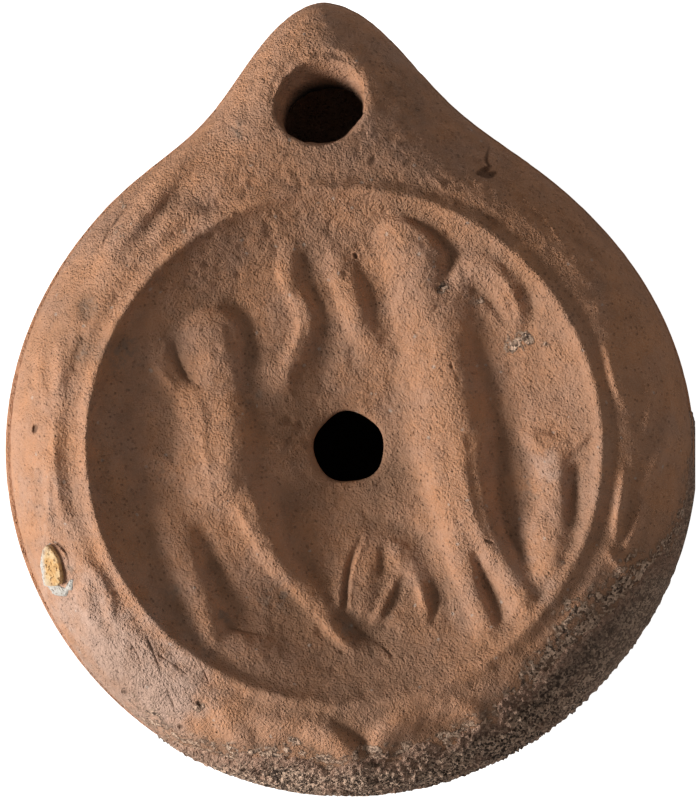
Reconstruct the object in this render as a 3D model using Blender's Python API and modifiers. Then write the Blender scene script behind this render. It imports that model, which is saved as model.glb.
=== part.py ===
"""Roman mould-made oil lamp of fired clay: one hollow piece, with a sunk picture disc, a filling hole at its
middle, a sloping ornamented shoulder and a broad nozzle pierced by the wick hole.

Metres, +Z up. The origin is the middle of the flat base, under the filling hole, and the nozzle points to +Y.
Run with: blender --background --python part.py
"""

import math

import bpy
import numpy as np

MM = 0.001

# The body, seen from the side
SEAM_HEIGHT = 15.6 * MM
SHOULDER_HEIGHT = 27.0 * MM
DISC_FLOOR_HEIGHT = 23.4 * MM
WALL = 3.5 * MM
DISC_THICKNESS = 3.0 * MM
FLOOR_THICKNESS = 4.0 * MM
BASE_RADIUS = 20.5 * MM
BASE_EDGE = 1.0 * MM
BASE_TRIM = 0.5 * MM
BASE_GROOVE_RADIUS = 16.0 * MM
BASE_GROOVE_ROUND = 0.9 * MM
BASE_GROOVE_DEPTH = 0.5 * MM
BASE_GROOVE_SEGMENTS = (56, 10)
SEAM_STEP = 0.4 * MM
SHOULDER_RISE = 1.7
SIDE_RISE = 1.6
ROUNDING = 2.0

# The body, seen from above
BODY_RADIUS = 43.6 * MM
SHOULDER_RADIUS = 33.8 * MM
NOZZLE_REACH = 13.0 * MM
NOZZLE_AZIMUTH = -3.5
NOZZLE_SPREAD = 14.8
NOZZLE_POWER = 1.85
RIM_SWELLS = (
    # azimuth, swell in millimetres, spread in degrees
    (42, -1.2, 28),
    (105, 0.45, 24),
    (188, 0.65, 30),
    (305, -0.45, 22),
    (338, -0.5, 14),
)

# The picture disc
FILLING_HOLE_RADIUS = 4.3 * MM
DISC_RADIUS = 29.0 * MM
DISC_DISH = 1.3 * MM
RIDGE_RADIUS = 33.0 * MM
RIDGE_WIDTH = 0.8 * MM
RIDGE_HEIGHT = 0.6 * MM
RIDGE_WALL = 3.0 * MM
DISC_OFFSET = (-0.4 * MM, 0.15 * MM)
DISC_OFFSET_RADIUS = 17.0 * MM

# The wick hole
WICK_HOLE_RADIUS = 5.8 * MM
WICK_HOLE_STRETCH = 1.1
WICK_HOLE_CENTRE = (-3.7 * MM, 43.6 * MM, 24.0 * MM)
WICK_HOLE_TILT = 28.0
WICK_CUTTER_ABOVE = 12.0 * MM
WICK_CUTTER_BELOW = 9.0 * MM
WICK_CUTTER_SIDES = 40

# How finely the form is cut before it is thinned, and the triangles it keeps
TURN_STEPS = 288
DISC_STEPS = 61
SHOULDER_STEPS = 31
SIDE_STEPS = 18
CHAMBER_STEPS = 12
CEILING_STEPS = 10
END_CROWDING = 1.5
MERGE_DISTANCE = 0.01 * MM
TRIANGLES_KEPT = 8600

CLAY_COLOUR = (0.42, 0.22, 0.125, 1.0)
CLAY_ROUGHNESS = 0.9

# How round a raised stroke's back is, and over how many millimetres of height strokes melt together
STROKE_ROUNDING = 1.5
STROKE_BLEND = 0.4

# Relief, in millimetres from the filling hole: each stroke is a list of (x, y, half width, height) along its
# middle line, which runs through them as a smooth curve. Every face is a plain worn dome.
STANDING_FIGURE = {
    "head": [(7.2, 25.0, 5.2, 1.9), (8.0, 22.8, 5.4, 1.9)],
    "neck": [(7.6, 21.0, 4.4, 1.3), (8.4, 15.5, 5.6, 1.4)],
    "trunk": [(9.0, 14.5, 6.6, 1.8), (10.6, 8.0, 7.2, 2.1), (12.0, 2.0, 7.4, 2.3), (12.8, -3.0, 7.2, 2.3)],
    "front leg": [
        (13.2, -2.0, 5.8, 2.3), (14.6, -8.0, 5.4, 2.3), (17.6, -14.0, 4.6, 2.0), (20.6, -19.0, 4.0, 1.7),
        (22.4, -22.4, 3.2, 1.1),
    ],
    "back leg": [
        (10.2, -4.0, 4.8, 1.5), (11.8, -11.0, 4.2, 1.4), (13.6, -16.5, 3.6, 1.2), (15.6, -22.0, 3.0, 0.9),
    ],
    "bent arm": [
        (12.0, 17.5, 3.4, 1.0), (14.6, 22.0, 2.8, 1.1), (17.0, 23.0, 2.4, 1.0), (19.6, 21.2, 2.1, 1.0),
        (21.2, 18.0, 2.0, 0.9), (21.6, 15.2, 1.6, 0.5),
    ],
    "cloth over the arm": [(16.6, 21.0, 1.6, 0.7), (18.6, 18.6, 1.6, 0.8), (19.8, 15.8, 1.6, 0.5)],
    "reaching arm": [
        (-3.2, 23.0, 1.9, 0.5), (-1.6, 20.6, 2.3, 1.1), (0.0, 17.4, 2.4, 1.2), (1.2, 13.8, 2.8, 1.1),
        (3.6, 10.6, 3.4, 0.7),
    ],
}
SEATED_FIGURE = {
    "head": [(-17.0, 13.2, 4.8, 1.8), (-17.2, 11.8, 4.8, 1.8)],
    "hair": [(-14.4, 15.6, 3.0, 0.8), (-13.2, 17.6, 2.2, 0.4)],
    "near shoulder": [(-24.6, 10.6, 2.2, 0.8), (-22.6, 7.6, 2.6, 1.0), (-19.4, 5.0, 3.8, 1.3)],
    "trunk": [(-19.6, 4.6, 5.4, 1.4), (-18.8, -0.5, 5.8, 1.9), (-18.0, -5.0, 5.6, 1.9)],
    "stretched leg": [
        (-17.4, -5.5, 5.6, 1.8), (-13.6, -9.6, 5.2, 1.9), (-11.2, -13.6, 4.3, 1.8), (-8.2, -17.4, 3.5, 1.6),
        (-5.0, -20.8, 2.9, 1.3), (-2.0, -23.8, 2.3, 1.0), (0.8, -26.4, 1.7, 0.6),
    ],
    "bent leg": [
        (-24.6, -8.6, 3.1, 0.9), (-23.0, -12.6, 3.0, 1.2), (-21.0, -16.2, 3.0, 1.3), (-19.0, -20.0, 2.8, 1.2),
        (-17.9, -23.6, 2.5, 0.7),
    ],
    "ground under the feet": [(-18.0, -24.6, 2.2, 0.5), (-12.0, -24.4, 2.4, 0.5), (-8.0, -25.6, 1.9, 0.3)],
    "raised arm": [
        (-11.6, 6.4, 2.6, 0.6), (-8.9, 9.0, 2.6, 1.1), (-7.2, 12.6, 2.6, 1.2), (-6.9, 16.8, 2.5, 1.2),
        (-8.0, 20.4, 2.3, 1.2), (-8.4, 24.4, 1.9, 0.7),
    ],
    "far forearm": [(-27.4, -0.4, 1.9, 0.3), (-24.6, -1.8, 2.1, 0.5), (-21.8, -3.2, 2.1, 0.5)],
}
ALTAR = {
    "bowl": [(22.8, 0.8, 2.2, 0.6), (26.0, -0.2, 3.0, 0.9), (29.2, 0.6, 2.1, 0.6)],
    "column": [(25.2, -1.0, 3.0, 1.0), (25.0, -9.5, 2.6, 1.0)],
    "foot": [(25.0, -11.0, 3.6, 0.8), (25.0, -16.6, 4.2, 0.9)],
}
SHIELD = {
    "rim": [(-1.1, -12.6, 1.2, 0.5), (-1.5, -18.6, 1.2, 0.5)],
    "face": [(3.6, -15.4, 5.4, 0.7), (2.8, -18.0, 4.8, 0.7)],
    "strap": [(4.6, -17.2, 1.2, 0.5), (2.8, -22.2, 1.2, 0.5)],
    "edge": [(7.4, -15.6, 1.6, 0.5), (9.4, -19.6, 1.6, 0.4)],
}
DISC_HOLLOWS = {
    "between the arms": [
        (-5.8, 23.4, 2.0, 0.4), (-5.0, 19.5, 2.3, 0.6), (-3.8, 15.8, 1.9, 0.5), (-5.0, 12.4, 2.1, 0.6),
    ],
    "left of the neck": [(0.4, 22.6, 2.0, 0.5), (2.0, 19.0, 2.0, 0.9), (3.2, 14.8, 1.7, 0.5)],
    "round the head": [
        (8.0, 28.8, 1.4, 0.4), (11.6, 27.4, 1.7, 0.6), (13.6, 24.8, 1.7, 0.6), (12.8, 21.2, 1.6, 0.5),
    ],
    "right of the column": [
        (30.0, 0.2, 1.0, 0.6), (28.4, -1.6, 1.0, 0.6), (27.7, -4.0, 1.1, 0.8), (27.6, -9.6, 1.1, 0.7),
    ],
    "between the legs": [(16.4, -12.8, 1.1, 0.5), (17.4, -17.4, 1.3, 0.9), (18.2, -21.4, 1.1, 0.6)],
    "under the shield": [(-0.6, -20.6, 1.8, 0.5), (2.4, -23.6, 1.8, 0.7), (5.0, -24.0, 1.4, 0.4)],
}

# Shoulder ornament: (azimuth in degrees clockwise from the nozzle, radius, half width, height), in millimetres
SHOULDER_SCROLLS = {
    "right wave": [
        (43, 40.0, 1.5, 0.3), (47, 37.6, 1.5, 0.45), (53, 36.3, 1.5, 0.45), (58, 37.3, 1.5, 0.45),
        (66, 40.2, 1.5, 0.45), (80, 41.8, 1.5, 0.45), (91, 41.0, 1.5, 0.45), (98, 38.8, 1.5, 0.45),
        (105, 37.0, 1.5, 0.4), (112, 36.8, 1.5, 0.3),
    ],
    "right volute": [(68, 37.0, 1.3, 0.4), (74, 39.2, 1.3, 0.45), (82, 39.0, 1.3, 0.45), (85, 37.4, 1.3, 0.4)],
    "left outer loop": [
        (254, 40.5, 1.3, 0.4), (257, 37.4, 1.3, 0.5), (264, 36.0, 1.3, 0.5), (272, 36.0, 1.3, 0.5),
        (279, 37.0, 1.3, 0.4),
    ],
    "left inner loop": [
        (257, 40.8, 1.2, 0.4), (261, 38.8, 1.2, 0.45), (266, 39.0, 1.2, 0.45), (269, 40.6, 1.2, 0.4),
    ],
    "lower left leaf": [(236, 37.0, 1.8, 0.5), (242, 36.4, 2.0, 0.6), (248, 37.0, 1.6, 0.5)],
    "upper left ridge": [
        (326, 42.0, 1.8, 0.5), (319, 39.4, 1.8, 0.6), (312, 37.2, 1.8, 0.5), (305, 36.4, 1.6, 0.4),
    ],
    "upper left boss": [(311, 41.2, 2.2, 0.6), (314, 40.8, 2.2, 0.6)],
    "lower wave": [
        (196, 36.4, 1.8, 0.5), (190, 38.0, 1.8, 0.6), (184, 36.6, 1.8, 0.5), (178, 38.4, 1.8, 0.6),
        (172, 39.0, 2.0, 0.6), (166, 37.2, 1.8, 0.5), (158, 36.4, 1.6, 0.4),
    ],
}


def clear_scene():
    """Remove every object that the file starts with."""
    for obj in list(bpy.data.objects):
        bpy.data.objects.remove(obj, do_unlink=True)


def new_collection(name):
    """Return a collection of this name, linked to the scene."""
    collection = bpy.data.collections.new(name)
    bpy.context.scene.collection.children.link(collection)
    return collection


def clay_material():
    """Return the fired clay."""
    material = bpy.data.materials.new("fired_clay")
    material.use_nodes = True
    shader = material.node_tree.nodes["Principled BSDF"]
    shader.inputs["Base Color"].default_value = CLAY_COLOUR
    shader.inputs["Roughness"].default_value = CLAY_ROUGHNESS
    shader.inputs["Metallic"].default_value = 0.0
    return material


def smooth_step(low, high, value):
    """Rise smoothly from 0 at low to 1 at high."""
    t = np.clip((value - low) / (high - low), 0.0, 1.0)
    return t * t * (3.0 - 2.0 * t)


def wrapped(degrees):
    """Bring an angle into the range from -180 to 180."""
    return (degrees + 180.0) % 360.0 - 180.0


def rim_radius(azimuth):
    """Return the outline's radius at an azimuth in degrees, clockwise from +Y: a round body that runs out
    into the nozzle, with a few slow swells."""
    radius = BODY_RADIUS + np.zeros_like(azimuth)
    for middle, swell, width in RIM_SWELLS:
        radius += swell * MM * np.exp(-((wrapped(azimuth - middle) / width) ** 2))
    across = np.abs(wrapped(azimuth - NOZZLE_AZIMUTH)) / NOZZLE_SPREAD
    return radius + NOZZLE_REACH * np.exp(-(across ** NOZZLE_POWER))


def crowded(steps):
    """Return steps from just above 0 to 1 that crowd together towards 1."""
    return 1.0 - (1.0 - np.linspace(0.0, 1.0, steps)[1:]) ** END_CROWDING


def bulge(t, rise):
    """Return a curve from 0 at t = 0 to 1 at t = 1 that leaves level and ends upright."""
    return 1.0 - (1.0 - t ** rise) ** (1.0 / ROUNDING)


def disc_height(radius):
    """Return the height of the dished disc, its wall and its ridge at a distance from the disc's middle."""
    dished = DISC_FLOOR_HEIGHT + DISC_DISH * (radius / DISC_RADIUS) ** 2
    wall = RIDGE_WALL * smooth_step(DISC_RADIUS, RIDGE_RADIUS, radius)
    bead = RIDGE_HEIGHT * np.exp(-(((radius - RIDGE_RADIUS) / RIDGE_WIDTH) ** 2))
    return np.minimum(dished + wall, SHOULDER_HEIGHT) + bead


def top_profile():
    """Return (radius, height) points from the filling hole out over the disc and down to the seam."""
    disc = np.linspace(FILLING_HOLE_RADIUS, SHOULDER_RADIUS, DISC_STEPS)
    points = [(r, float(disc_height(np.array(r)))) for r in disc]
    edge = BODY_RADIUS - SEAM_STEP
    for t in crowded(SHOULDER_STEPS):
        height = SHOULDER_HEIGHT - (SHOULDER_HEIGHT - SEAM_HEIGHT) * bulge(t, SHOULDER_RISE)
        points.append((SHOULDER_RADIUS + (edge - SHOULDER_RADIUS) * t, height))
    return points


def lower_profile():
    """Return (radius, height) points from the seam down the side, under the base and in to the axis."""
    points = []
    start = BASE_RADIUS + BASE_EDGE
    for t in reversed(crowded(SIDE_STEPS)):
        height = BASE_EDGE + (SEAM_HEIGHT - SEAM_STEP - BASE_EDGE) * bulge(t, SIDE_RISE)
        points.append((start + (BODY_RADIUS - start) * t, height))
    points.append((start, BASE_EDGE))
    points.append((BASE_RADIUS - BASE_TRIM / 2, -BASE_TRIM))
    points.append((0.0, -BASE_TRIM))
    return points


def chamber_profile():
    """Return (radius, height) points from the axis out over the chamber's floor, up its wall and back under
    the disc to the filling hole."""
    reach = BODY_RADIUS - WALL
    flat = BASE_RADIUS - WALL
    points = [(0.0, FLOOR_THICKNESS), (flat, FLOOR_THICKNESS)]
    for t in crowded(CHAMBER_STEPS):
        height = FLOOR_THICKNESS + (SEAM_HEIGHT - FLOOR_THICKNESS) * bulge(t, SIDE_RISE)
        points.append((flat + (reach - flat) * t, height))
    ceiling = SHOULDER_HEIGHT - WALL
    for t in reversed(crowded(CEILING_STEPS)[:-1]):
        height = ceiling - (ceiling - SEAM_HEIGHT) * bulge(t, SHOULDER_RISE)
        points.append((SHOULDER_RADIUS + (reach - SHOULDER_RADIUS) * t, height))
    under_disc = DISC_FLOOR_HEIGHT - DISC_THICKNESS
    points.append((DISC_RADIUS - WALL / 2, under_disc + DISC_DISH / 2))
    points.append((FILLING_HOLE_RADIUS, under_disc))
    return points


def smooth_path(points, steps=6):
    """Return a Catmull-Rom curve through the points."""
    p = np.array(points, float)
    if len(p) == 2:
        t = np.linspace(0.0, 1.0, steps + 1)[:, None]
        return p[0] * (1.0 - t) + p[1] * t
    p = np.vstack([2 * p[0] - p[1], p, 2 * p[-1] - p[-2]])
    path = []
    for a, b, c, d in zip(p[:-3], p[1:-2], p[2:-1], p[3:]):
        for t in np.linspace(0.0, 1.0, steps, endpoint=False):
            path.append(0.5 * (2 * b + (c - a) * t + (2 * a - 5 * b + 4 * c - d) * t ** 2
                               + (3 * b - a - 3 * c + d) * t ** 3))
    path.append(p[-2])
    return np.array(path)


def stroke_height(x, y, points):
    """Return the height of one soft stroke at each (x, y), in millimetres."""
    path = smooth_path(points)
    height = np.zeros_like(x)
    for start, end in zip(path[:-1], path[1:]):
        along = end[:2] - start[:2]
        t = ((x - start[0]) * along[0] + (y - start[1]) * along[1]) / max(along @ along, 1e-9)
        t = np.clip(t, 0.0, 1.0)
        distance = (x - start[0] - t * along[0]) ** 2 + (y - start[1] - t * along[1]) ** 2
        half_width = start[2] + (end[2] - start[2]) * t
        crest = start[3] + (end[3] - start[3]) * t
        dome = np.clip(1.0 - distance / half_width ** 2, 0.0, 1.0) ** STROKE_ROUNDING
        height = np.maximum(height, crest * dome)
    return height


def joined_height(x, y, strokes):
    """Return the height of several strokes, each melting into the next."""
    height = np.zeros_like(x)
    for points in strokes.values():
        other = stroke_height(x, y, points)
        near = np.clip(1.0 - np.abs(height - other) / STROKE_BLEND, 0.0, 1.0)
        both = np.clip(2.0 * np.minimum(height, other) / STROKE_BLEND, 0.0, 1.0)
        height = np.maximum(height, other) + STROKE_BLEND / 4.0 * near ** 2 * both
    return height


def on_the_shoulder(strokes):
    """Return shoulder strokes, given by azimuth and radius, as strokes in x and y."""
    placed = {}
    for name, points in strokes.items():
        placed[name] = []
        for azimuth, radius, half_width, height in points:
            angle = math.radians(azimuth)
            placed[name].append((radius * math.sin(angle), radius * math.cos(angle), half_width, height))
    return placed


def relief_height(x, y):
    """Return the height of all the carving at each (x, y), in metres."""
    x = x / MM
    y = y / MM
    height = -joined_height(x, y, DISC_HOLLOWS)
    for strokes in (STANDING_FIGURE, SEATED_FIGURE, ALTAR, SHIELD, on_the_shoulder(SHOULDER_SCROLLS)):
        height += joined_height(x, y, strokes)
    return height * MM


def stretched_radius(radius, azimuth, start, end, inset):
    """Stretch the radii between start and end so that end lands on the outline, less the inset."""
    share = (radius - start) / (end - start)
    return start + share * (rim_radius(azimuth) - inset - start)


def shape_plan(points, inside):
    """Draw the round form out into the nozzle. Points on the chamber's side keep the wall's thickness."""
    radius = np.hypot(points[:, 0], points[:, 1])
    azimuth = np.degrees(np.arctan2(points[:, 0], points[:, 1]))
    above = points[:, 2] > SEAM_HEIGHT - SEAM_STEP / 2
    start = np.where(above, SHOULDER_RADIUS, np.where(inside, BASE_RADIUS - WALL, BASE_RADIUS + BASE_EDGE))
    end = np.where(inside, BODY_RADIUS - WALL, BODY_RADIUS)
    inset = np.where(inside, WALL, 0.0)
    new_radius = np.where(radius > start, stretched_radius(radius, azimuth, start, end, inset), radius)
    scale = new_radius / np.maximum(radius, 1e-9)
    points[:, 0] *= scale
    points[:, 1] *= scale


def carve_top(points, inside):
    """Shift the disc a little off the middle and raise the relief on the outer top."""
    radius = np.hypot(points[:, 0], points[:, 1])
    slide = smooth_step(FILLING_HOLE_RADIUS, DISC_OFFSET_RADIUS, radius)
    slide *= 1.0 - smooth_step(SHOULDER_RADIUS, BODY_RADIUS - WALL, radius)
    top = ~inside & (points[:, 2] > SEAM_HEIGHT)
    points[top, 0] += DISC_OFFSET[0] * slide[top]
    points[top, 1] += DISC_OFFSET[1] * slide[top]
    fade = smooth_step(FILLING_HOLE_RADIUS, FILLING_HOLE_RADIUS + WALL / 2, radius)
    fade *= smooth_step(SEAM_HEIGHT, SEAM_HEIGHT + WALL, points[:, 2])
    points[top, 2] += relief_height(points[top, 0], points[top, 1]) * fade[top]


def turned_mesh(collection):
    """Turn the lamp's section about the axis and return the mesh."""
    section = chamber_profile() + top_profile() + lower_profile()
    mesh = bpy.data.meshes.new("lamp_section")
    edges = [(i, i + 1) for i in range(len(section) - 1)]
    mesh.from_pydata([(r, 0.0, z) for r, z in section], edges, [])
    guide = bpy.data.objects.new("lamp_section", mesh)
    collection.objects.link(guide)
    screw = guide.modifiers.new("Turn", "SCREW")
    screw.axis = "Z"
    screw.angle = math.tau
    screw.steps = TURN_STEPS
    screw.render_steps = TURN_STEPS
    screw.use_merge_vertices = True
    screw.merge_threshold = MERGE_DISTANCE
    bpy.context.view_layer.update()
    graph = bpy.context.evaluated_depsgraph_get()
    turned = bpy.data.meshes.new_from_object(guide.evaluated_get(graph))
    bpy.data.objects.remove(guide, do_unlink=True)
    return turned


def chamber_side(points):
    """Tell which points lie on the chamber's side of the wall."""
    radius = np.hypot(points[:, 0], points[:, 1])
    inside = np.zeros(len(points), bool)
    for r, z in chamber_profile():
        inside |= np.hypot(radius - r, points[:, 2] - z) < MERGE_DISTANCE
    return inside


def keep_as_cutter(obj, name, collection):
    """Name a cutter, move it to the cutters' collection and keep it out of the lamp."""
    obj.name = name
    for owner in list(obj.users_collection):
        owner.objects.unlink(obj)
    collection.objects.link(obj)
    obj.hide_render = True
    obj.display_type = "WIRE"
    return obj


def base_cutter(collection):
    """Return the block whose top trims the base flat."""
    block = 3.0 * BASE_RADIUS
    bpy.ops.mesh.primitive_cube_add(size=block, location=(0.0, 0.0, -block / 2))
    return keep_as_cutter(bpy.context.object, "base_cutter", collection)


def base_groove_cutter(collection):
    """Return the ring that cuts the shallow groove in the base."""
    height = BASE_GROOVE_DEPTH - BASE_GROOVE_ROUND
    around, across = BASE_GROOVE_SEGMENTS
    bpy.ops.mesh.primitive_torus_add(
        major_segments=around,
        minor_segments=across,
        major_radius=BASE_GROOVE_RADIUS,
        minor_radius=BASE_GROOVE_ROUND,
        location=(0.0, 0.0, height),
    )
    return keep_as_cutter(bpy.context.object, "base_groove_cutter", collection)


def wick_cutter(collection):
    """Return the tilted oval rod that pierces the nozzle."""
    length = WICK_CUTTER_ABOVE + WICK_CUTTER_BELOW
    tilt = math.radians(-WICK_HOLE_TILT)
    shift = (WICK_CUTTER_ABOVE - WICK_CUTTER_BELOW) / 2
    x, y, z = WICK_HOLE_CENTRE
    middle = (x, y - math.sin(tilt) * shift, z + math.cos(tilt) * shift)
    bpy.ops.mesh.primitive_cylinder_add(
        vertices=WICK_CUTTER_SIDES,
        radius=WICK_HOLE_RADIUS,
        depth=length,
        location=middle,
        rotation=(tilt, 0.0, 0.0),
        scale=(1.0, WICK_HOLE_STRETCH, 1.0),
    )
    return keep_as_cutter(bpy.context.object, "wick_hole_cutter", collection)


def cut(body, name, cutter):
    """Take a cutter away from the body."""
    modifier = body.modifiers.new(name, "BOOLEAN")
    modifier.operation = "DIFFERENCE"
    modifier.solver = "EXACT"
    modifier.object = cutter


def lamp_body(parts, cutters):
    """Make the lamp: turned, drawn out to the nozzle, carved, pierced and thinned."""
    mesh = turned_mesh(cutters)
    points = np.empty(len(mesh.vertices) * 3)
    mesh.vertices.foreach_get("co", points)
    points = points.reshape(-1, 3)
    inside = chamber_side(points)
    shape_plan(points, inside)
    carve_top(points, inside)
    mesh.vertices.foreach_set("co", points.ravel())
    mesh.update()
    mesh.name = "lamp_body"
    mesh.materials.append(clay_material())
    mesh.shade_smooth()

    body = bpy.data.objects.new("lamp_body", mesh)
    parts.objects.link(body)
    thin = body.modifiers.new("Thin", "DECIMATE")
    thin.decimate_type = "COLLAPSE"
    thin.use_collapse_triangulate = True
    thin.ratio = TRIANGLES_KEPT / (2.0 * len(mesh.polygons))
    cut(body, "Flat base", base_cutter(cutters))
    cut(body, "Base groove", base_groove_cutter(cutters))
    cut(body, "Wick hole", wick_cutter(cutters))
    return body


def main():
    clear_scene()
    parts = new_collection("roman_oil_lamp")
    cutters = new_collection("cutters")
    lamp_body(parts, cutters)


main()
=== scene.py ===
"""Roman mould-made oil lamp of fired clay, worn and stained, with a stone chip, lime and grit stuck to it."""

import math

import bpy
import numpy as np
from bpy.props import FloatProperty, FloatVectorProperty, PointerProperty
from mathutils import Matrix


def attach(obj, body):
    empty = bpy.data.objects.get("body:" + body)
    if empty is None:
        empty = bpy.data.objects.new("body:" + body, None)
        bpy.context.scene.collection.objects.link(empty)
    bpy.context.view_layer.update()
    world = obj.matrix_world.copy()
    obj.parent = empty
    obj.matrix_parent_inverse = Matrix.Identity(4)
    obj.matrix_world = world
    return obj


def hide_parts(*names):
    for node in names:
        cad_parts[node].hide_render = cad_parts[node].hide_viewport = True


bl_info = {
    "name": "Roman clay oil lamp",
    "version": (1, 0, 0),
    "blender": (4, 5, 0),
    "location": "View3D > Sidebar > Oil lamp",
    "description": "Builds a worn mould-made clay oil lamp round its packed solid",
    "category": "Object",
}

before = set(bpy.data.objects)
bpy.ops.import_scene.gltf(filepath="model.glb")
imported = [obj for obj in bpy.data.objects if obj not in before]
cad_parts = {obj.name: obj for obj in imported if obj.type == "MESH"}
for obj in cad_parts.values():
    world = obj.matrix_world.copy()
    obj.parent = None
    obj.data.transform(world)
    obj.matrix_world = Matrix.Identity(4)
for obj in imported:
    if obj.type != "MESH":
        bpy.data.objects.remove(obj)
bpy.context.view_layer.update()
MM = 0.001

# How finely the lamp and the wick hole are turned, the triangles the lamp keeps, and how finely and how far
# round them its cracks are cut
TURN_STEPS = 900
DISC_ROWS = 130
SHOULDER_ROWS = 64
TURN_SECTORS = 30
TRIANGLES_KEPT = 160000
CUTTER_STEPS = 120
CRACK_CUTS = 2
CRACK_ROOM = 0.7

# The sheet that the relief is worked out on, in millimetres: its step and two of its corners
SHEET_STEP = 0.16
SHEET_LOW = (-46.5, -46.5)
SHEET_HIGH = (46.5, 58.5)

# The body, in millimetres
SEAM = 15.6
LOWER_SEAM = 14.9
SHOULDER_TOP = 27.0
SHOULDER_START = 32.8
SHOULDER_POWER = 1.75
SHOULDER_MELT = 0.8
BODY = 43.45
BASE = 20.5
HOLE = 4.45
NECK_HEIGHT = 2.56
DISC_FLOOR = 22.9
DISC_RISE = 3.7
DISC_RISE_RADIUS = 31.2
DISC_RISE_POWER = 4.2
DISC_CENTRE = (-0.65, 0.1)
DISC_UNDERSIDE = 20.2
RIDGE_RADIUS = 32.2
RIDGE_SPREAD = 0.8
RIDGE_GROOVE = 1.8
FLOOR_INSIDE = 4.0
CEILING_START = SHOULDER_START + 0.4
CEILING_POWER = 1.7
SIDE_POWER = 1.6
CRUST_SINK = 0.45
SEAM_REACH = 0.3
BASE_ROUND = 1.0

# Steps of the section: the ceiling as (radius, up from the disc's underside), the neck as (out from the
# filling hole, up from the disc's underside), the seam as (share of its reach, height), the base's round edge
# as (out from the base, height), and its ring as (radius, height)
CEILING = ((27.3, 0.7), (15, 0.1))
NECK = (
    (0.5, 0), (0.15, 0.12), (0, 0.45), (-0.03, 1), (-0.02, 1.5), (0.03, 1.95), (0.14, 2.3),
    (0.34, NECK_HEIGHT),
)
SEAM_STEP = ((-0.35, 15.42), (-0.3, 15.2), (0, 15.12), (0.45, 15.1), (0.85, 15.02), (1, LOWER_SEAM))
BASE_EDGE = ((BASE_ROUND, BASE_ROUND), (0.6, 0.5), (0.1, 0.17), (-0.6, 0.05))
BASE_RING = (
    (17, 0.03), (16.6, 0.2), (16.2, 0.45), (15.8, 0.45), (15.4, 0.2), (15, 0.03), (8, 0.03), (0, 0.03),
)

# The plan: how far the nozzle reaches, where it points and how it narrows, and the swells of the rim as
# (azimuth, swell, spread in degrees)
NOZZLE_REACH = 13.0
NOZZLE_AZIMUTH = -3.5
NOZZLE_SPREAD = 14.8
NOZZLE_POWER = 1.85
RIM_SWELLS = ((42, -1.2, 28), (105, 0.45, 24), (188, 0.65, 30), (305, -0.45, 22), (338, -0.5, 14))

# The wick hole: its middle at the top, its radius, how far it leans for each millimetre down, the clay over
# the chamber round it, its cutter as (height, radius), and how far round and how deep its lip is worn
WICK_HOLE = (-3.75, 43.9, 24.2)
WICK_RADIUS = 5.9
WICK_LEAN = (0.19, -0.66)
WICK_WALL = 3.0
WICK_CUTTER = (
    (-8, 4.7), (-4.4, 4.85), (-3, 5.05), (-1.6, 5.4), (-0.5, 5.7), (0.5, WICK_RADIUS), (2, 6), (9, 6.1),
)
WICK_LIP = 0.5
WICK_LIP_DROP = 0.35

# How far strokes of one group melt into each other, how the relief is worn, as (share, spread), and where the
# picture ends on the disc
FIGURE_BLEND = 0.5
HOLLOW_BLEND = 0.3
BORDER_BLEND = 0.2
DETAIL_BLEND = 0.1
CRACK_BLEND = 0.05
PICTURE_WEAR = ((0.5, 0.28), (0.5, 1.05))
BORDER_WEAR = ((0.65, 0.28), (0.35, 0.8))
DETAIL_WEAR = 0.2
PICTURE_EDGE = (29.0, 32.6)

# The user's sizes, read into millimetres before each piece is built
SIZES = {"wall": 3.5, "roughness": 1.0, "crust": 1.0}

# The gritty crust: its grid, the radius it is laid from, how much thicker it is over the side, its greatest
# thickness on the top, its greatest reach in x and round, how deep its border is buried, and its inner edge
# as (azimuth, radius)
CRUST_GRID = (420, 100)
CRUST_START = 34.0
CRUST_OVERHANG = 0.6
CRUST_THICKEST = 0.75
CRUST_REACH_X = 43.8
CRUST_REACH = 44.12
BURIED = -0.4
CRUST_EDGE = (
    (84, 43.9), (96, 43.3), (103, 42.7), (109, 41.6), (113, 40), (118, 38.4), (123, 37.2), (131, 36.6),
    (139.6, 35.6), (147, 36.6), (154, 37.6), (162.7, 38.6), (174, 38.3), (182, 39.6), (190, 38.8),
    (198, 40.2), (206, 41.6), (214, 43.4),
)

# The chip: its middle, its lift, half its thickness, how far it leans upright, how finely it is cut, and its
# outline as (direction in degrees, distance)
CHIP_MIDDLE = (-36.95, -14.85)
CHIP_LIFT = 0.5
CHIP_HALF_THICKNESS = 0.6
CHIP_UPRIGHT = 0.4
CHIP_CUTS = 23
CHIP_OUTLINE = (
    (-180, 1.05), (-150, 1.1), (-128, 1.75), (-112, 2.6), (-90, 2.45), (-66, 2.5), (-45, 1.85), (-20, 1.4),
    (0, 1.3), (15, 1.32), (35, 1.4), (57, 1.7), (78, 2.2), (97, 2.85), (110, 2.5), (130, 1.7), (155, 1.15),
)
LIME_PATCH = {
    "left rim": (1, [
        (-37.5, -12.1, 0.3, 0.4, 0.15), (-38.2, -13.2, 0.35, 0.9, 0.3), (-38.3, -15, 0.4, 0.9, 0.3),
        (-37.9, -17, 0.45, 0.9, 0.3),
    ]),
    "foot": (1, [(-37.3, -17.4, 0.6, 0.7, 0.25), (-36.5, -18, 0.9, 1, 0.3), (-35.6, -18.1, 0.9, 0.8, 0.25)]),
    "right rim": (1, [
        (-35.1, -17.6, 0.8, 0.7, 0.22), (-34.6, -16.4, 0.6, 0.5, 0.12), (-34, -15.2, 0.4, 0.3, 0.05),
    ]),
}

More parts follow.
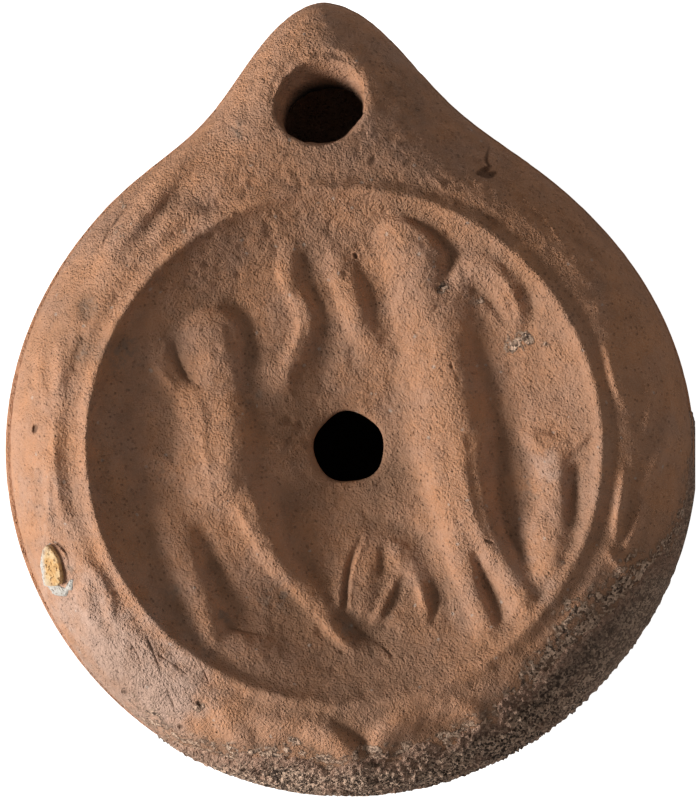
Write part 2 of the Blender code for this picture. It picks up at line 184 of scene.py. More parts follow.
# The lime's patch of the lamp's top: its middle, width, length and turn, and its grid
LIME_PLACE = ((-36.2, -15.4), 5.6, 9.4, 0.4)
LIME_GRID = (90, 110)

# Stains and stuck matter, as (x, y, radius, strength) in millimetres
SOILED = (
    (-39, 14, 4.5, 0.35), (-37, 20, 4, 0.3), (-3, -29, 6, 0.4), (-12, -27, 5, 0.2), (5, -26, 7, 0.5),
    (-7, -20, 4, 0.3), (-5, 37.5, 5, 0.3), (3, 36.5, 5, 0.45), (-11, 40, 4, 0.2), (-4, 53, 4, 0.3),
    (9, 33, 4, 0.45), (-8, 4, 5, 0.35), (3, -8, 5, 0.4), (-4, -6, 4, 0.3), (-20, -20, 4, 0.2),
    (5, -4, 3, 0.3), (-33, 12, 2.6, 0.5), (-32.5, 17.5, 2.4, 0.5), (-28.5, 13, 1.6, 0.3),
    (-12, 6.5, 2.2, 0.25), (7, 46, 3, 0.4), (9.5, 42, 3.2, 0.3), (30, -24, 6, 0.4), (36, -14, 5, 0.3),
    (34, 26, 6, 0.15), (-30, -32, 4, 0.3), (-14, 28, 5, 0.1),
)
GREYED = (
    (-28, 11.5, 2.6, 0.8), (-33, 12, 2, 0.6), (-32.6, 17.5, 1.8, 0.5), (-12, 6.3, 1.5, 0.8),
    (-9, -18.6, 2.8, 0.6), (-15.6, -21, 1.6, 0.7), (0, -22.6, 2.2, 0.6), (5.2, -21, 1.2, 0.5),
    (-34.9, -15, 0.9, 0.9), (-23, -3, 2.6, 0.5), (-22, -18, 1.8, 0.5), (12, -10.6, 1.4, 0.4),
    (10.4, -2.5, 2, 0.35), (23.4, -5, 2.2, 0.5), (17, 27, 1.4, 0.4), (-15, 16.6, 1.2, 0.5),
    (3, -26.2, 1.6, 0.4), (21.8, 18.6, 0.9, 0.8), (15.2, 18.6, 1.4, 0.6), (22, 13.6, 2, 0.4),
    (7, 42, 4, 0.35), (3, -7, 4, 0.2), (-26.5, 27.5, 2, 0.4), (-14, 40, 1.6, 0.5),
)
ORANGE = (
    (-25, 33, 5, 0.6), (24, 27, 8, 0.6), (-13, -8, 5, 0.5), (36, 10, 6, 0.5), (-2, -30, 7, 0.25),
    (12, -33, 5, 0.5), (15, 3, 5, 0.3), (0, 27, 8, 0.3),
)
BLEACHED = (
    (-30, -25, 6, 0.9), (-35, -18, 5, 0.6), (-23, -31, 6, 0.9), (24, -16, 4, 0.4), (25, -3, 3, 0.4),
    (8, 47, 3, 0.3), (-38, -6, 5, 0.3), (2, 40, 5, 0.15),
)
CRUSTED = (
    (-7, -36.6, 0.9, 0.8), (-18.5, -32.8, 1, 0.9), (1.9, -37.4, 0.7, 0.7), (-14.6, -34, 0.9, 0.5),
    (-28.7, 26.9, 1, 0.9), (-28.5, 30.5, 0.7, 0.8), (-14, 39, 0.9, 0.8), (-12.5, 32.5, 0.8, 0.6),
    (-20.5, 27, 0.7, 0.6), (16.4, 18.6, 0.8, 0.9), (12, 19.9, 1.2, 0.5), (20.6, 12.9, 1.7, 1),
    (22.4, 13.8, 1, 0.7), (24.6, 13, 0.8, 0.6), (22, 16, 0.8, 0.6), (26.6, -14.4, 0.8, 0.5),
    (11.5, 19.8, 0.7, 0.6), (-24, -34, 3, 0.5), (-28, -32, 2.4, 0.5), (27, -22, 3.6, 0.5), (31, -20, 4, 0.6),
    (35, -14, 3.6, 0.5),
)

# Lights as (name, azimuth, elevation, distance, size, strength), and the camera's frame
LIGHTS = (
    ("key light", 258.0, 19.0, 1.2, 0.42, 19.0),
    ("weak light", 70.0, 48.0, 1.5, 0.8, 1.0),
)
LIGHT_COLOUR = (1.0, 0.985, 0.965)
ROOM_COLOUR = (1.0, 0.945, 0.9, 1.0)
ROOM_STRENGTH = 0.185
FLOOR_GLOW = 0.95
FRAME_HEIGHT = 101.3
FRAME_MIDDLE = (0.13, 5.8)
LENS = 400.0
SENSOR = 36.0

# How far the specks' cells are bent out of shape, in metres
SPECK_BEND = 0.0004

# Relief, in millimetres from the filling hole. Each stroke is a rounding and its middle line, as points of
# (x, y, width to the left, width to the right, height or depth). Every face is a plain worn dome.
STANDING_FIGURE = {
    "head": (1.2, [(6.4, 26.2, 3.2, 3, 1.9), (9.2, 23.4, 5.9, 3.6, 2.3)]),
    "neck": (1.3, [(9.2, 21, 4.8, 3.6, 1.9), (9.9, 17.8, 5.2, 4.2, 1.9)]),
    "trunk": (1.35, [
        (11.6, 16, 6.2, 5, 1.8), (12.3, 12, 6.9, 4.2, 2.2), (13.1, 8, 7.1, 4.3, 2.4),
        (13.7, 4, 7.6, 4.7, 2.4), (14, 0, 7.9, 5.1, 2.3), (14.2, -2, 7, 5, 2.2),
    ]),
    "front leg": (1.2, [
        (15, 2, 4.6, 3.9, 2.2), (15.9, -3, 4.3, 3.3, 2.6), (16.5, -8, 4.1, 3.1, 2.7),
        (18.3, -12.4, 3.6, 2.9, 2.4), (20.7, -16.8, 2.9, 2.8, 2), (22.5, -20.4, 2.8, 2.7, 1.6),
        (23.4, -23, 2.6, 2.2, 0.9),
    ]),
    "back leg": (1.4, [
        (11.2, -1, 3.8, 4.4, 2.3), (12.6, -6, 3.6, 4, 2.5), (14, -11.4, 3.2, 3.2, 2.1),
        (15.4, -16.8, 2.8, 2.5, 1.6), (16.6, -20.2, 2.6, 2.3, 1.3), (17.4, -23, 2.4, 2.2, 0.5),
    ]),
    "bent arm": (1.3, [
        (12, 18.2, 3, 3, 1), (14, 21.4, 2.4, 2.4, 1.1), (16.4, 22.6, 2.1, 2.1, 1), (18.8, 21.2, 1.9, 1.9, 1),
        (20.6, 18.8, 1.7, 1.5, 0.9), (21.2, 16.4, 1.4, 1.3, 0.4), (20.8, 15, 1.2, 1.2, 0.1),
    ]),
    "reaching arm": (1.3, [
        (-2.2, 24.4, 1.4, 1.6, 0.3), (-0.9, 22, 2.3, 2, 0.9), (0.5, 19.2, 2.6, 1.9, 1.2),
        (1.3, 16.2, 2.5, 1.8, 1.2), (2.7, 13.4, 2.6, 2.2, 0.8), (4.6, 11, 2.6, 2.6, 0.3),
    ]),
}
SEATED_FIGURE = {
    "head": (1, [(-17.4, 13.8, 3.6, 4.4, 1.2), (-16.6, 11.4, 4.2, 4, 1.5)]),
    "near shoulder": (1.6, [
        (-23.4, 11, 1.8, 2, 0.3), (-21.4, 8, 2.2, 2.4, 0.5), (-18.8, 5.4, 3.2, 3.4, 0.9),
    ]),
    "trunk": (1.4, [
        (-15.4, 6.4, 4.4, 3.2, 0.9), (-14.8, 2.4, 4.6, 3.4, 1.3), (-14.9, -1.6, 4.6, 3.6, 1.4),
        (-15.4, -5, 4.2, 3.8, 1.3),
    ]),
    "back": (1.6, [(-19, 4, 3.4, 4, 0.7), (-18.6, -1, 3.4, 4, 0.6), (-17.6, -6, 3.2, 4, 0.4)]),
    "stretched leg": (1.3, [
        (-15, -4, 4, 3.4, 1.3), (-12.4, -7.6, 2.8, 3.1, 1.5), (-10.8, -11.4, 2.2, 3, 1.5),
        (-8.8, -14.8, 1.8, 2.7, 1.3), (-6, -17.8, 1.5, 2.5, 1), (-3.2, -20.8, 1.4, 2, 0.8),
        (-1.2, -23.4, 1.2, 1.5, 0.6), (0.6, -25.8, 1, 1.1, 0.2),
    ]),
    "bent leg": (1.5, [
        (-22.8, -9, 2.6, 3, 0.5), (-21.4, -12.2, 2.8, 3, 0.7), (-19.8, -15.6, 2.8, 2.9, 0.85),
        (-18.2, -19.2, 2.6, 2.7, 0.95), (-17.2, -22.6, 2.2, 2.3, 0.95), (-17, -24.6, 1.8, 2, 0.3),
    ]),
    "ground under the feet": (1.4, [
        (-15, -24.8, 2, 2.4, 0.3), (-12, -25.4, 3.8, 2.6, 0.65), (-9, -26.4, 4.2, 2.4, 0.5),
        (-5.8, -27.4, 3, 2.4, 0.2),
    ]),
    "ridge by the bent foot": (1.2, [
        (-14.6, -22.8, 0.8, 0.9, 0.1), (-13.9, -24, 1.5, 1.1, 0.45), (-12.9, -25.2, 1.5, 1.2, 0.4),
        (-11.8, -26.4, 1.4, 1.2, 0.2),
    ]),
    "raised arm": (1.3, [
        (-8.2, 7.6, 1.5, 1.5, 0.4), (-7.6, 9.8, 1.7, 1.5, 0.8), (-6, 12.8, 1.9, 1.4, 1.1),
        (-5, 15.8, 2, 1.4, 1.2), (-5.5, 18, 2.1, 1.4, 1.2), (-7.1, 20.4, 1.9, 1.5, 1.2),
        (-7.6, 22.4, 1.7, 1.6, 1), (-7.4, 25, 1.5, 1.7, 0.3),
    ]),
    "far forearm": (1.6, [
        (-27, 0, 1.6, 1.6, 0.2), (-24.6, -1.8, 1.9, 1.9, 0.4), (-21.8, -3.2, 1.9, 1.9, 0.4),
    ]),
    "seat": (1.6, [(-30, 0.6, 1.4, 1.2, 0.2), (-28.8, -3, 1.6, 1.3, 0.4), (-27.2, -4.8, 1.4, 1.2, 0.2)]),
}
ALTAR = {
    "bowl": (1.2, [(23.2, 2, 1.6, 5, 0.6), (23.8, 0.6, 2.2, 6.4, 1.2), (24.8, -0.7, 2, 4, 0.7)]),
    "column": (1.2, [(26, -1.4, 3.6, 1.8, 1.4), (26, -5, 3.5, 1.6, 1.4), (26, -9.5, 3.6, 1.8, 1.4)]),
    "foot": (1.4, [(25, -10.5, 4, 3, 1.4), (25.4, -14.5, 3.4, 3.6, 1.6), (26.2, -18, 3, 3.2, 1)]),
}
SHIELD = {
    "rim": (1.2, [
        (0.6, -12, 1, 0.7, 0.2), (-0.4, -15, 1.2, 0.8, 0.45), (-1, -18.8, 1.3, 0.8, 0.6),
        (-1.1, -20.4, 1.1, 0.7, 0.3),
    ]),
    "face": (1.4, [(2.8, -13, 2.4, 2, 0.5), (2.1, -16.5, 2.6, 2, 0.7), (1.7, -20.2, 2.2, 2, 0.6)]),
    "upper right": (1.4, [(5.8, -13.2, 1.8, 2, 0.5), (7.2, -15.6, 1.8, 1.8, 0.4)]),
    "edge": (1.3, [(8.8, -15.8, 1.6, 1.3, 0.4), (9.6, -18, 1.7, 1.3, 0.55), (9.9, -20.2, 1.5, 1.3, 0.5)]),
}
DISC_GROUND = {
    "swell under the seated figure": (1.5, [
        (-14, 9, 4.4, 9, 0.4), (-15.4, 4, 7, 12, 1.1), (-16, -2, 7.6, 13.6, 1.4), (-16.4, -8, 8.4, 13.4, 1.1),
        (-16.2, -13, 8.6, 12, 0.8), (-15.6, -18, 7.4, 10.2, 0.6), (-14.8, -22.6, 5, 8, 0.4),
        (-14, -25.6, 3, 5, 0.1),
    ]),
}
DISC_LOW_GROUND = {
    "low ground beside the seated figure": (1.5, [
        (0, 12, 6, 6, 0.1), (0.6, 7, 10, 11, 0.8), (1, 0, 13, 13, 1.2), (1.4, -8, 12, 12, 1.2),
        (2.4, -14, 9, 9, 0.8), (3.4, -19, 6, 7, 0.2),
    ]),
}
DISC_HOLLOWS = {
    "between the arms": (1.3, [
        (-5.6, 24.6, 1, 1.1, 0.3), (-4.9, 21.8, 1, 1, 0.35), (-4.4, 19.4, 0.9, 1, 0.35),
        (-3.2, 16.4, 0.9, 1, 0.35), (-3, 13.8, 1, 1.6, 0.35), (-3.6, 11, 1.2, 3, 0.4),
        (-4.2, 8, 1.2, 3, 0.25),
    ]),
    "left of the neck": (1.3, [
        (1, 22.6, 0.8, 1, 0.2), (2.2, 20, 0.7, 1, 0.35), (2.8, 17.6, 0.7, 1, 0.35), (3.4, 15.6, 0.7, 1, 0.2),
    ]),
    "round the standing head": (1.4, [
        (9.6, 27.6, 0.8, 0.8, 0.1), (11.6, 26, 1, 1, 0.3), (13, 23.8, 1, 1, 0.35),
        (12.2, 21.8, 0.9, 0.9, 0.35), (11.4, 20.6, 0.8, 0.8, 0.2),
    ]),
    "right of the bent arm": (1.3, [
        (21.6, 21.4, 0.8, 0.8, 0.4), (22.6, 19.2, 0.9, 0.9, 0.8), (23, 16.8, 0.9, 0.9, 0.8),
        (22.4, 15, 0.9, 0.9, 0.3),
    ]),
    "round the seated head": (1.3, [
        (-22.2, 14.6, 1.3, 1, 0.25), (-21.8, 11.4, 1.2, 1, 0.4), (-20.2, 8.4, 1.1, 1, 0.35),
    ]),
    "behind the seated head": (1.4, [
        (-14.6, 18.6, 1.3, 1.4, 0.4), (-13, 15.6, 1.3, 1.8, 0.6), (-12.6, 11.8, 1.3, 2.2, 0.6),
        (-12, 8, 1.3, 2.4, 0.3),
    ]),
    "over the altar": (1.4, [
        (22.8, 3.4, 0.9, 0.9, 0.4), (25.6, 2.6, 0.9, 0.9, 0.6), (28.6, 2.6, 0.8, 0.8, 0.5),
    ]),
    "right of the column": (1.2, [
        (28.6, -2.4, 0.8, 0.8, 0.7), (28.5, -6, 0.9, 0.8, 1.1), (28.5, -9.4, 0.8, 0.8, 0.7),
    ]),
    "between the legs": (1.3, [
        (16, -14, 0.8, 0.8, 0.5), (17, -17, 1, 1, 1.1), (18.4, -20.2, 1.1, 1, 0.9),
        (19, -22.2, 0.9, 0.9, 0.4),
    ]),
    "right of the legs": (1.4, [
        (17.6, 0, 1.6, 1.4, 0.4), (18.3, -6, 1.6, 1.8, 0.5), (19.6, -11, 1.2, 1.4, 0.5),
        (21, -14.6, 1, 1, 0.6), (24, -18.6, 1.1, 1, 0.5), (25.2, -21, 1.1, 1, 0.4),
    ]),
    "left of the legs": (1.5, [
        (8.6, -12, 1.6, 1.2, 0.2), (10.6, -16.4, 1.5, 1.6, 0.3), (11.4, -18.4, 1.5, 1.6, 0.3),
        (12.2, -20.6, 1.4, 1.5, 0.3),
    ]),
    "top of the shield": (1.4, [
        (2.6, -9.6, 1.6, 1.4, 0.2), (4.8, -9.9, 1.8, 1.6, 0.5), (7.2, -10.6, 2, 1.8, 0.7),
        (9.2, -12, 2, 1.6, 0.7), (9.9, -14.2, 1.5, 1.3, 0.4),
    ]),
    "under the shield": (1.4, [
        (-1, -21.4, 1.2, 1.8, 0.5), (1.2, -23.2, 1.4, 3, 0.9), (4.4, -24.2, 1.5, 2.6, 0.5),
    ]),
    "between the seated legs": (1.5, [
        (-18.2, -10.6, 1.6, 1.6, 0.5), (-17, -14.6, 2, 2.2, 0.7), (-15, -18.8, 2, 2.2, 0.5),
        (-13.2, -21.2, 2, 2.4, 0.3),
    ]),
    "foot pit": (1.1, [(-15.8, -21.6, 0.9, 1.2, 0.7), (-14.8, -22.6, 0.9, 1, 0.5)]),
    "left of the bent leg": (1.5, [
        (-26.6, -12, 1.5, 1.5, 0.15), (-24.4, -16.4, 1.5, 1.5, 0.2), (-21.8, -20.6, 1.4, 1.4, 0.2),
    ]),
}
DETAIL_RIDGES = {
    "strap": (1.2, [
        (5.8, -16.6, 0.6, 0.5, 0.25), (4.8, -18.6, 0.7, 0.6, 0.4), (3.8, -20.6, 0.7, 0.6, 0.4),
        (3, -22, 0.6, 0.6, 0.25),
    ]),
    "groove lip": (1, [
        (2.1, -11.4, 0.35, 0.4, 0.2), (1.2, -13.4, 0.35, 0.4, 0.3), (0.6, -15.6, 0.35, 0.4, 0.3),
        (0.2, -18.2, 0.35, 0.4, 0.3), (0, -20.2, 0.3, 0.4, 0.2),
    ]),
    "edge lip": (1.1, [
        (8.2, -15.9, 0.7, 0.6, 0.2), (8.9, -17.8, 0.7, 0.6, 0.35), (9.5, -19.9, 0.6, 0.5, 0.3),
    ]),
    "cloth fold 1": (1.2, [
        (16.6, 21.2, 0.6, 0.6, 0.15), (18.4, 19.6, 0.7, 0.6, 0.35), (19.6, 17.6, 0.6, 0.6, 0.3),
        (20.2, 15.6, 0.5, 0.5, 0.1),
    ]),
    "cloth fold 2": (1.2, [
        (18, 22.4, 0.5, 0.5, 0.1), (19.6, 20.6, 0.5, 0.5, 0.25), (20.8, 18.4, 0.5, 0.4, 0.25),
        (21.4, 16.6, 0.4, 0.4, 0.1),
    ]),
    "shoulder edge": (1.2, [
        (-24.6, 10.9, 0.5, 0.5, 0.1), (-23.4, 9.4, 0.6, 0.5, 0.25), (-22, 7.6, 0.6, 0.5, 0.2),
    ]),
    "ring round the head": (1, [
        (-21.6, 14.6, 0.3, 0.3, 0.05), (-22.8, 13, 0.3, 0.3, 0.14), (-23.4, 11.4, 0.3, 0.3, 0.1),
    ]),
    "bowl lip": (1.1, [(22, 1.6, 0.5, 0.6, 0.1), (23.2, 0.8, 0.6, 0.6, 0.3), (24.6, -0.4, 0.6, 0.6, 0.2)]),
    "bowl right lip": (1.1, [
        (28.8, 0.2, 0.5, 0.5, 0.1), (29.8, 1.4, 0.5, 0.5, 0.3), (30, 2.6, 0.4, 0.4, 0.1),
    ]),
    "leg ridge": (1.2, [
        (-14.6, -6.4, 0.8, 0.7, 0.2), (-13.2, -9, 0.8, 0.7, 0.3), (-11.2, -12.8, 0.8, 0.7, 0.2),
    ]),
    "foot edge": (1.1, [
        (-6.3, -18.8, 0.6, 0.6, 0.1), (-3.5, -21.6, 0.7, 0.6, 0.25), (-1.2, -23.9, 0.6, 0.5, 0.2),
        (0.7, -25.6, 0.4, 0.4, 0.05),
    ]),
    "thigh ridge": (1.3, [
        (14, 1, 1.6, 0.9, 0.15), (14.3, -3, 1.9, 1.1, 0.6), (14.9, -7, 1.9, 1.1, 0.6),
        (16.2, -10.6, 1.7, 1, 0.45), (17.8, -13.6, 1.2, 0.8, 0.2),
    ]),
    "standing hair roll": (1.2, [
        (4.4, 27.2, 0.9, 0.8, 0.15), (6, 28.2, 0.9, 0.8, 0.25), (8, 27.6, 0.8, 0.8, 0.3),
        (10.2, 26.2, 0.8, 0.7, 0.3), (11.6, 24.2, 0.7, 0.7, 0.2),
    ]),
    "seated hair roll": (1.2, [
        (-20.6, 14.4, 0.8, 0.7, 0.2), (-19.2, 16.4, 0.8, 0.8, 0.25), (-16.6, 17, 0.8, 0.8, 0.2),
        (-14.4, 15.4, 0.8, 0.7, 0.2), (-13.4, 12.8, 0.7, 0.7, 0.2),
    ]),
    "raised arm crest": (1.1, [
        (-8.9, 22.4, 0.6, 0.5, 0.15), (-8.1, 20.4, 0.6, 0.5, 0.25), (-6.5, 17.6, 0.6, 0.5, 0.2),
        (-6.2, 14.6, 0.6, 0.5, 0.25), (-7.3, 11.6, 0.6, 0.5, 0.2),
    ]),
    "trunk edge": (1.3, [(-18.4, 5, 0.9, 0.8, 0.1), (-18.2, 1, 0.9, 0.8, 0.25), (-17.8, -3, 0.9, 0.8, 0.25)]),
}
DETAIL_GROOVES = {
    "shield groove": (1, [
        (1.5, -11.8, 0.3, 0.3, 0.25), (0.5, -13.5, 0.35, 0.35, 0.5), (-0.1, -15.6, 0.4, 0.35, 0.6),
        (-0.4, -18.2, 0.4, 0.35, 0.6), (-0.5, -20, 0.4, 0.4, 0.5),
    ]),
    "strap gap": (1.2, [
        (7, -16.4, 0.6, 0.7, 0.2), (6, -18.6, 0.7, 0.8, 0.35), (5, -21, 0.7, 0.8, 0.3),
        (4.4, -22.4, 0.5, 0.6, 0.2),
    ]),
    "face strip": (1.3, [(4.3, -12.4, 0.7, 0.7, 0.2), (4.1, -15.4, 0.8, 0.8, 0.3)]),
    "edge side": (1.2, [
        (10.5, -17, 0.7, 0.7, 0.3), (10.7, -19.4, 0.8, 0.8, 0.5), (10.7, -21.6, 0.7, 0.7, 0.3),
    ]),
    "under the cloth": (1.2, [
        (15, 20.2, 0.6, 0.6, 0.2), (17, 18.9, 0.6, 0.6, 0.4), (18.6, 17.2, 0.6, 0.6, 0.35),
        (19.6, 15.4, 0.5, 0.5, 0.2),
    ]),
    "cloth crease": (1.1, [
        (18.6, 21.2, 0.3, 0.3, 0.12), (19.8, 19.2, 0.3, 0.3, 0.2), (20.4, 17.2, 0.3, 0.3, 0.12),
    ]),
    "arm crease": (1.1, [
        (17, 25, 0.3, 0.3, 0.1), (18.6, 23.6, 0.35, 0.35, 0.22), (20.2, 22, 0.3, 0.3, 0.2),
        (20.6, 21, 0.3, 0.3, 0.1),
    ]),
    "ground crack": (1, [
        (-15.4, -22.6, 0.35, 0.35, 0.25), (-13.6, -23, 0.3, 0.3, 0.3), (-11.6, -23.2, 0.3, 0.3, 0.25),
        (-9.6, -23.6, 0.25, 0.25, 0.1),
    ]),
    "foot crack": (1, [
        (-3.9, -23, 0.25, 0.25, 0.12), (-2.4, -24.4, 0.3, 0.3, 0.22), (-0.6, -25.8, 0.25, 0.25, 0.1),
    ]),
    "under the bowl": (1.2, [
        (28.2, -1, 0.6, 0.6, 0.3), (29.2, -0.2, 0.6, 0.6, 0.4), (30.4, 1.2, 0.5, 0.5, 0.5),
        (30.8, 2.6, 0.4, 0.4, 0.2),
    ]),
    "bent leg fold": (1.1, [
        (-22.9, -12.4, 0.3, 0.3, 0.1), (-22.2, -14, 0.35, 0.35, 0.25), (-21.2, -15.6, 0.3, 0.3, 0.15),
    ]),
    "round the standing hair": (1, [
        (7.2, 29, 0.3, 0.3, 0.1), (9, 27.9, 0.35, 0.35, 0.2), (11, 26.3, 0.35, 0.35, 0.25),
        (12.6, 24, 0.3, 0.3, 0.2), (12.2, 22, 0.3, 0.3, 0.2),
    ]),
    "round the seated face": (1, [
        (-21.9, 13, 0.3, 0.3, 0.15), (-21.5, 10.8, 0.35, 0.35, 0.4), (-20.2, 8.6, 0.35, 0.35, 0.4),
        (-18.6, 7.6, 0.3, 0.3, 0.15),
    ]),
    "leg shadow line": (1, [
        (18.4, -7.2, 0.35, 0.3, 0.15), (19.6, -9.8, 0.4, 0.3, 0.35), (21, -12.6, 0.4, 0.3, 0.4),
        (22.6, -15.4, 0.35, 0.3, 0.2),
    ]),
    "bowl top": (1.1, [
        (21.8, 2.9, 0.5, 0.5, 0.2), (23.4, 2.3, 0.6, 0.6, 0.4), (25.2, 2, 0.6, 0.6, 0.4),
        (27, 1.6, 0.5, 0.5, 0.2),
    ]),
    "under the foot": (1.1, [
        (-0.8, -22.4, 0.35, 0.35, 0.15), (1.4, -23.4, 0.4, 0.4, 0.35), (3.8, -24.4, 0.35, 0.35, 0.2),
    ]),
}
SHOULDER_ORNAMENT = {
    "upper left ridge": (1.3, [
        (-31.6, 22.4, 1.2, 1.2, 0.3), (-28.8, 26, 1.6, 1.6, 1), (-25.9, 30, 1.8, 2, 1.6),
        (-23.5, 33.3, 1.9, 2.2, 1.7), (-20.9, 36.3, 2, 2.2, 1.3), (-18.4, 38.8, 1.8, 1.9, 0.6),
        (-16.8, 40.6, 1.5, 1.6, 0.2),
    ]),
    "upper left lobe": (1.5, [
        (-24.4, 25.6, 1.3, 1.2, 0.3), (-21.6, 28.4, 1.6, 1.5, 0.6), (-18.6, 28.9, 1.4, 1.3, 0.4),
    ]),
    "upper left bud": (1.5, [(-19.6, 33.4, 1.6, 1.6, 0.3), (-17, 34, 2, 2, 0.5), (-14.6, 34.8, 2, 2, 0.3)]),
    "torn lip": (1.1, [
        (18.3, 38, 0.4, 0.4, 0.1), (18.2, 36.9, 0.5, 0.45, 0.5), (17.9, 35.9, 0.45, 0.4, 0.5),
        (18.5, 34.9, 0.4, 0.4, 0.2),
    ]),
    "torn lump": (1.2, [(19.2, 36.6, 0.8, 0.7, 0.3), (20.3, 35.6, 0.7, 0.6, 0.2)]),
    "lower left leaf": (1.4, [
        (-34.2, -15, 1, 1, 0.39), (-32.6, -14.9, 1, 1, 0.65), (-31.2, -16.2, 1, 1, 0.78),
        (-30.2, -18.6, 1, 1, 0.78), (-29.8, -21.2, 1, 1, 0.52),
    ]),
    "lower left bud": (1.3, [
        (-33, -17.4, 1.4, 1.3, 0.65), (-32.8, -20.4, 1.5, 1.4, 0.91), (-31.6, -23, 1.3, 1.3, 0.52),
    ]),
    "left tongue outer": (1.2, [
        (-39.2, -2, 0.8, 0.8, 0.39), (-38.2, -0.6, 0.7, 0.7, 0.65), (-37.6, -3.4, 0.7, 0.5, 0.91),
        (-37.5, -7, 0.7, 0.5, 0.91), (-37.8, -10.4, 0.7, 0.5, 0.52),
    ]),
    "left tongue inner": (1.2, [
        (-36.9, 3.2, 0.7, 0.7, 0.52), (-36.9, -1, 0.7, 0.6, 0.91), (-36.5, -5, 0.6, 0.6, 0.91),
        (-36, -9, 0.6, 0.6, 0.52),
    ]),
    "left upper tongue": (1.3, [
        (-38.6, 13.6, 0.9, 0.7, 0.39), (-38.8, 9.6, 0.9, 0.7, 0.72), (-38, 5.6, 0.9, 0.7, 0.52),
    ]),
    "left upper tongue 2": (1.3, [
        (-36.4, 12.6, 0.9, 0.7, 0.52), (-36.2, 9, 0.9, 0.7, 0.72), (-36.6, 6, 0.9, 0.7, 0.39),
    ]),
    "right flow 1": (1.3, [
        (17.4, 32.6, 1, 1, 0.16), (21.2, 29.8, 1, 1, 0.32), (24.6, 26.6, 1, 1, 0.4), (27.6, 23.4, 1, 1, 0.48),
        (30.4, 20.6, 1, 1, 0.32),
    ]),
    "right flow 2": (1.3, [
        (21, 32.4, 0.9, 0.9, 0.48), (24.2, 29.6, 0.9, 0.9, 0.8), (26.6, 26.4, 0.9, 0.9, 0.8),
        (29, 23.4, 0.9, 0.9, 0.8), (32.6, 21.4, 0.9, 0.9, 0.64), (35.4, 21.4, 0.9, 0.9, 0.32),
    ]),
    "right flow 3": (1.3, [
        (26, 31, 0.9, 0.9, 0.48), (28.4, 28.2, 0.9, 0.9, 0.8), (30.6, 25.4, 0.9, 0.9, 0.8),
        (33.6, 23.6, 0.9, 0.9, 0.48),
    ]),
    "right volute": (1.3, [
        (31, 17.6, 1, 1, 0.48), (33.8, 18.2, 1, 1, 0.8), (36.4, 16.8, 1, 1, 0.8), (37.6, 14, 1, 1, 0.64),
    ]),
    "right inner ridge": (1.3, [
        (32, 13, 0.9, 0.9, 0.3), (32.8, 9.8, 0.9, 0.9, 0.8), (33.6, 7, 0.9, 0.9, 0.7),
        (34.7, 5.2, 0.9, 0.9, 0.2),
    ]),
    "right big arc": (1.3, [
        (36.8, 13.4, 0.9, 0.9, 0.48), (39.2, 10.6, 0.9, 0.9, 0.8), (40.6, 5.8, 0.9, 0.9, 0.8),
        (40.2, 2, 0.9, 0.9, 0.8), (38.6, -2.2, 0.9, 0.9, 0.8), (36.6, -5.6, 0.9, 0.9, 0.64),
    ]),
    "right inner arc": (1.3, [
        (36.6, 9.4, 0.8, 0.8, 0.48), (38, 6, 0.8, 0.8, 0.64), (37.4, 2.4, 0.8, 0.8, 0.48),
    ]),
    "right tongue 1": (1.3, [
        (34.4, -3.4, 0.8, 0.8, 0.48), (34, -6.4, 0.8, 0.8, 1.12), (33.5, -9.8, 0.8, 0.8, 0.96),
        (33.5, -11.8, 0.8, 0.8, 0.32),
    ]),
    "right tongue 2": (1.3, [
        (37, -6.4, 0.8, 0.8, 0.48), (36.2, -9.4, 0.8, 0.8, 0.96), (34.8, -12.6, 0.8, 0.8, 0.64),
    ]),
    "right tongue 3": (1.3, [
        (32.6, -13.4, 0.9, 0.9, 0.64), (34.4, -15.2, 0.8, 0.8, 0.8), (36, -16.4, 0.8, 0.8, 0.48),
    ]),
    "bottom left lobe": (1.4, [
        (-16.4, -32.4, 1.3, 1.5, 0.3), (-14.9, -34.4, 2.3, 2.2, 0.7), (-13.2, -36.6, 1.9, 1.8, 0.5),
    ]),
    "bottom wave": (1.3, [
        (-12.2, -33.6, 1.2, 1.2, 0.3), (-9.4, -34.6, 1.3, 1.2, 0.6), (-6.6, -34.6, 1.3, 1.2, 0.6),
        (-4.6, -34.6, 1.2, 1.2, 0.5),
    ]),
    "bottom petal": (1.3, [
        (-5.6, -34.6, 1.4, 1.3, 0.5), (-3, -35.8, 2.5, 2, 1), (-0.6, -37.8, 2.8, 2.1, 1.2),
        (1.8, -40.2, 2.2, 1.6, 0.7),
    ]),
    "bottom right lobe": (1.3, [
        (3.4, -38.4, 1.1, 1.8, 0.7), (3.8, -36.4, 1.4, 2.2, 1), (5.6, -34.8, 1.9, 2.2, 0.9),
        (8.2, -33.9, 1.7, 1.8, 0.4),
    ]),
    "bottom lobe 3": (1.4, [
        (8, -32, 1.6, 1.6, 0.4), (12, -31.6, 1.6, 1.6, 0.4), (15.6, -32.8, 1.4, 1.4, 0.5),
        (16.2, -34.6, 1.2, 1.2, 0.4),
    ]),
}
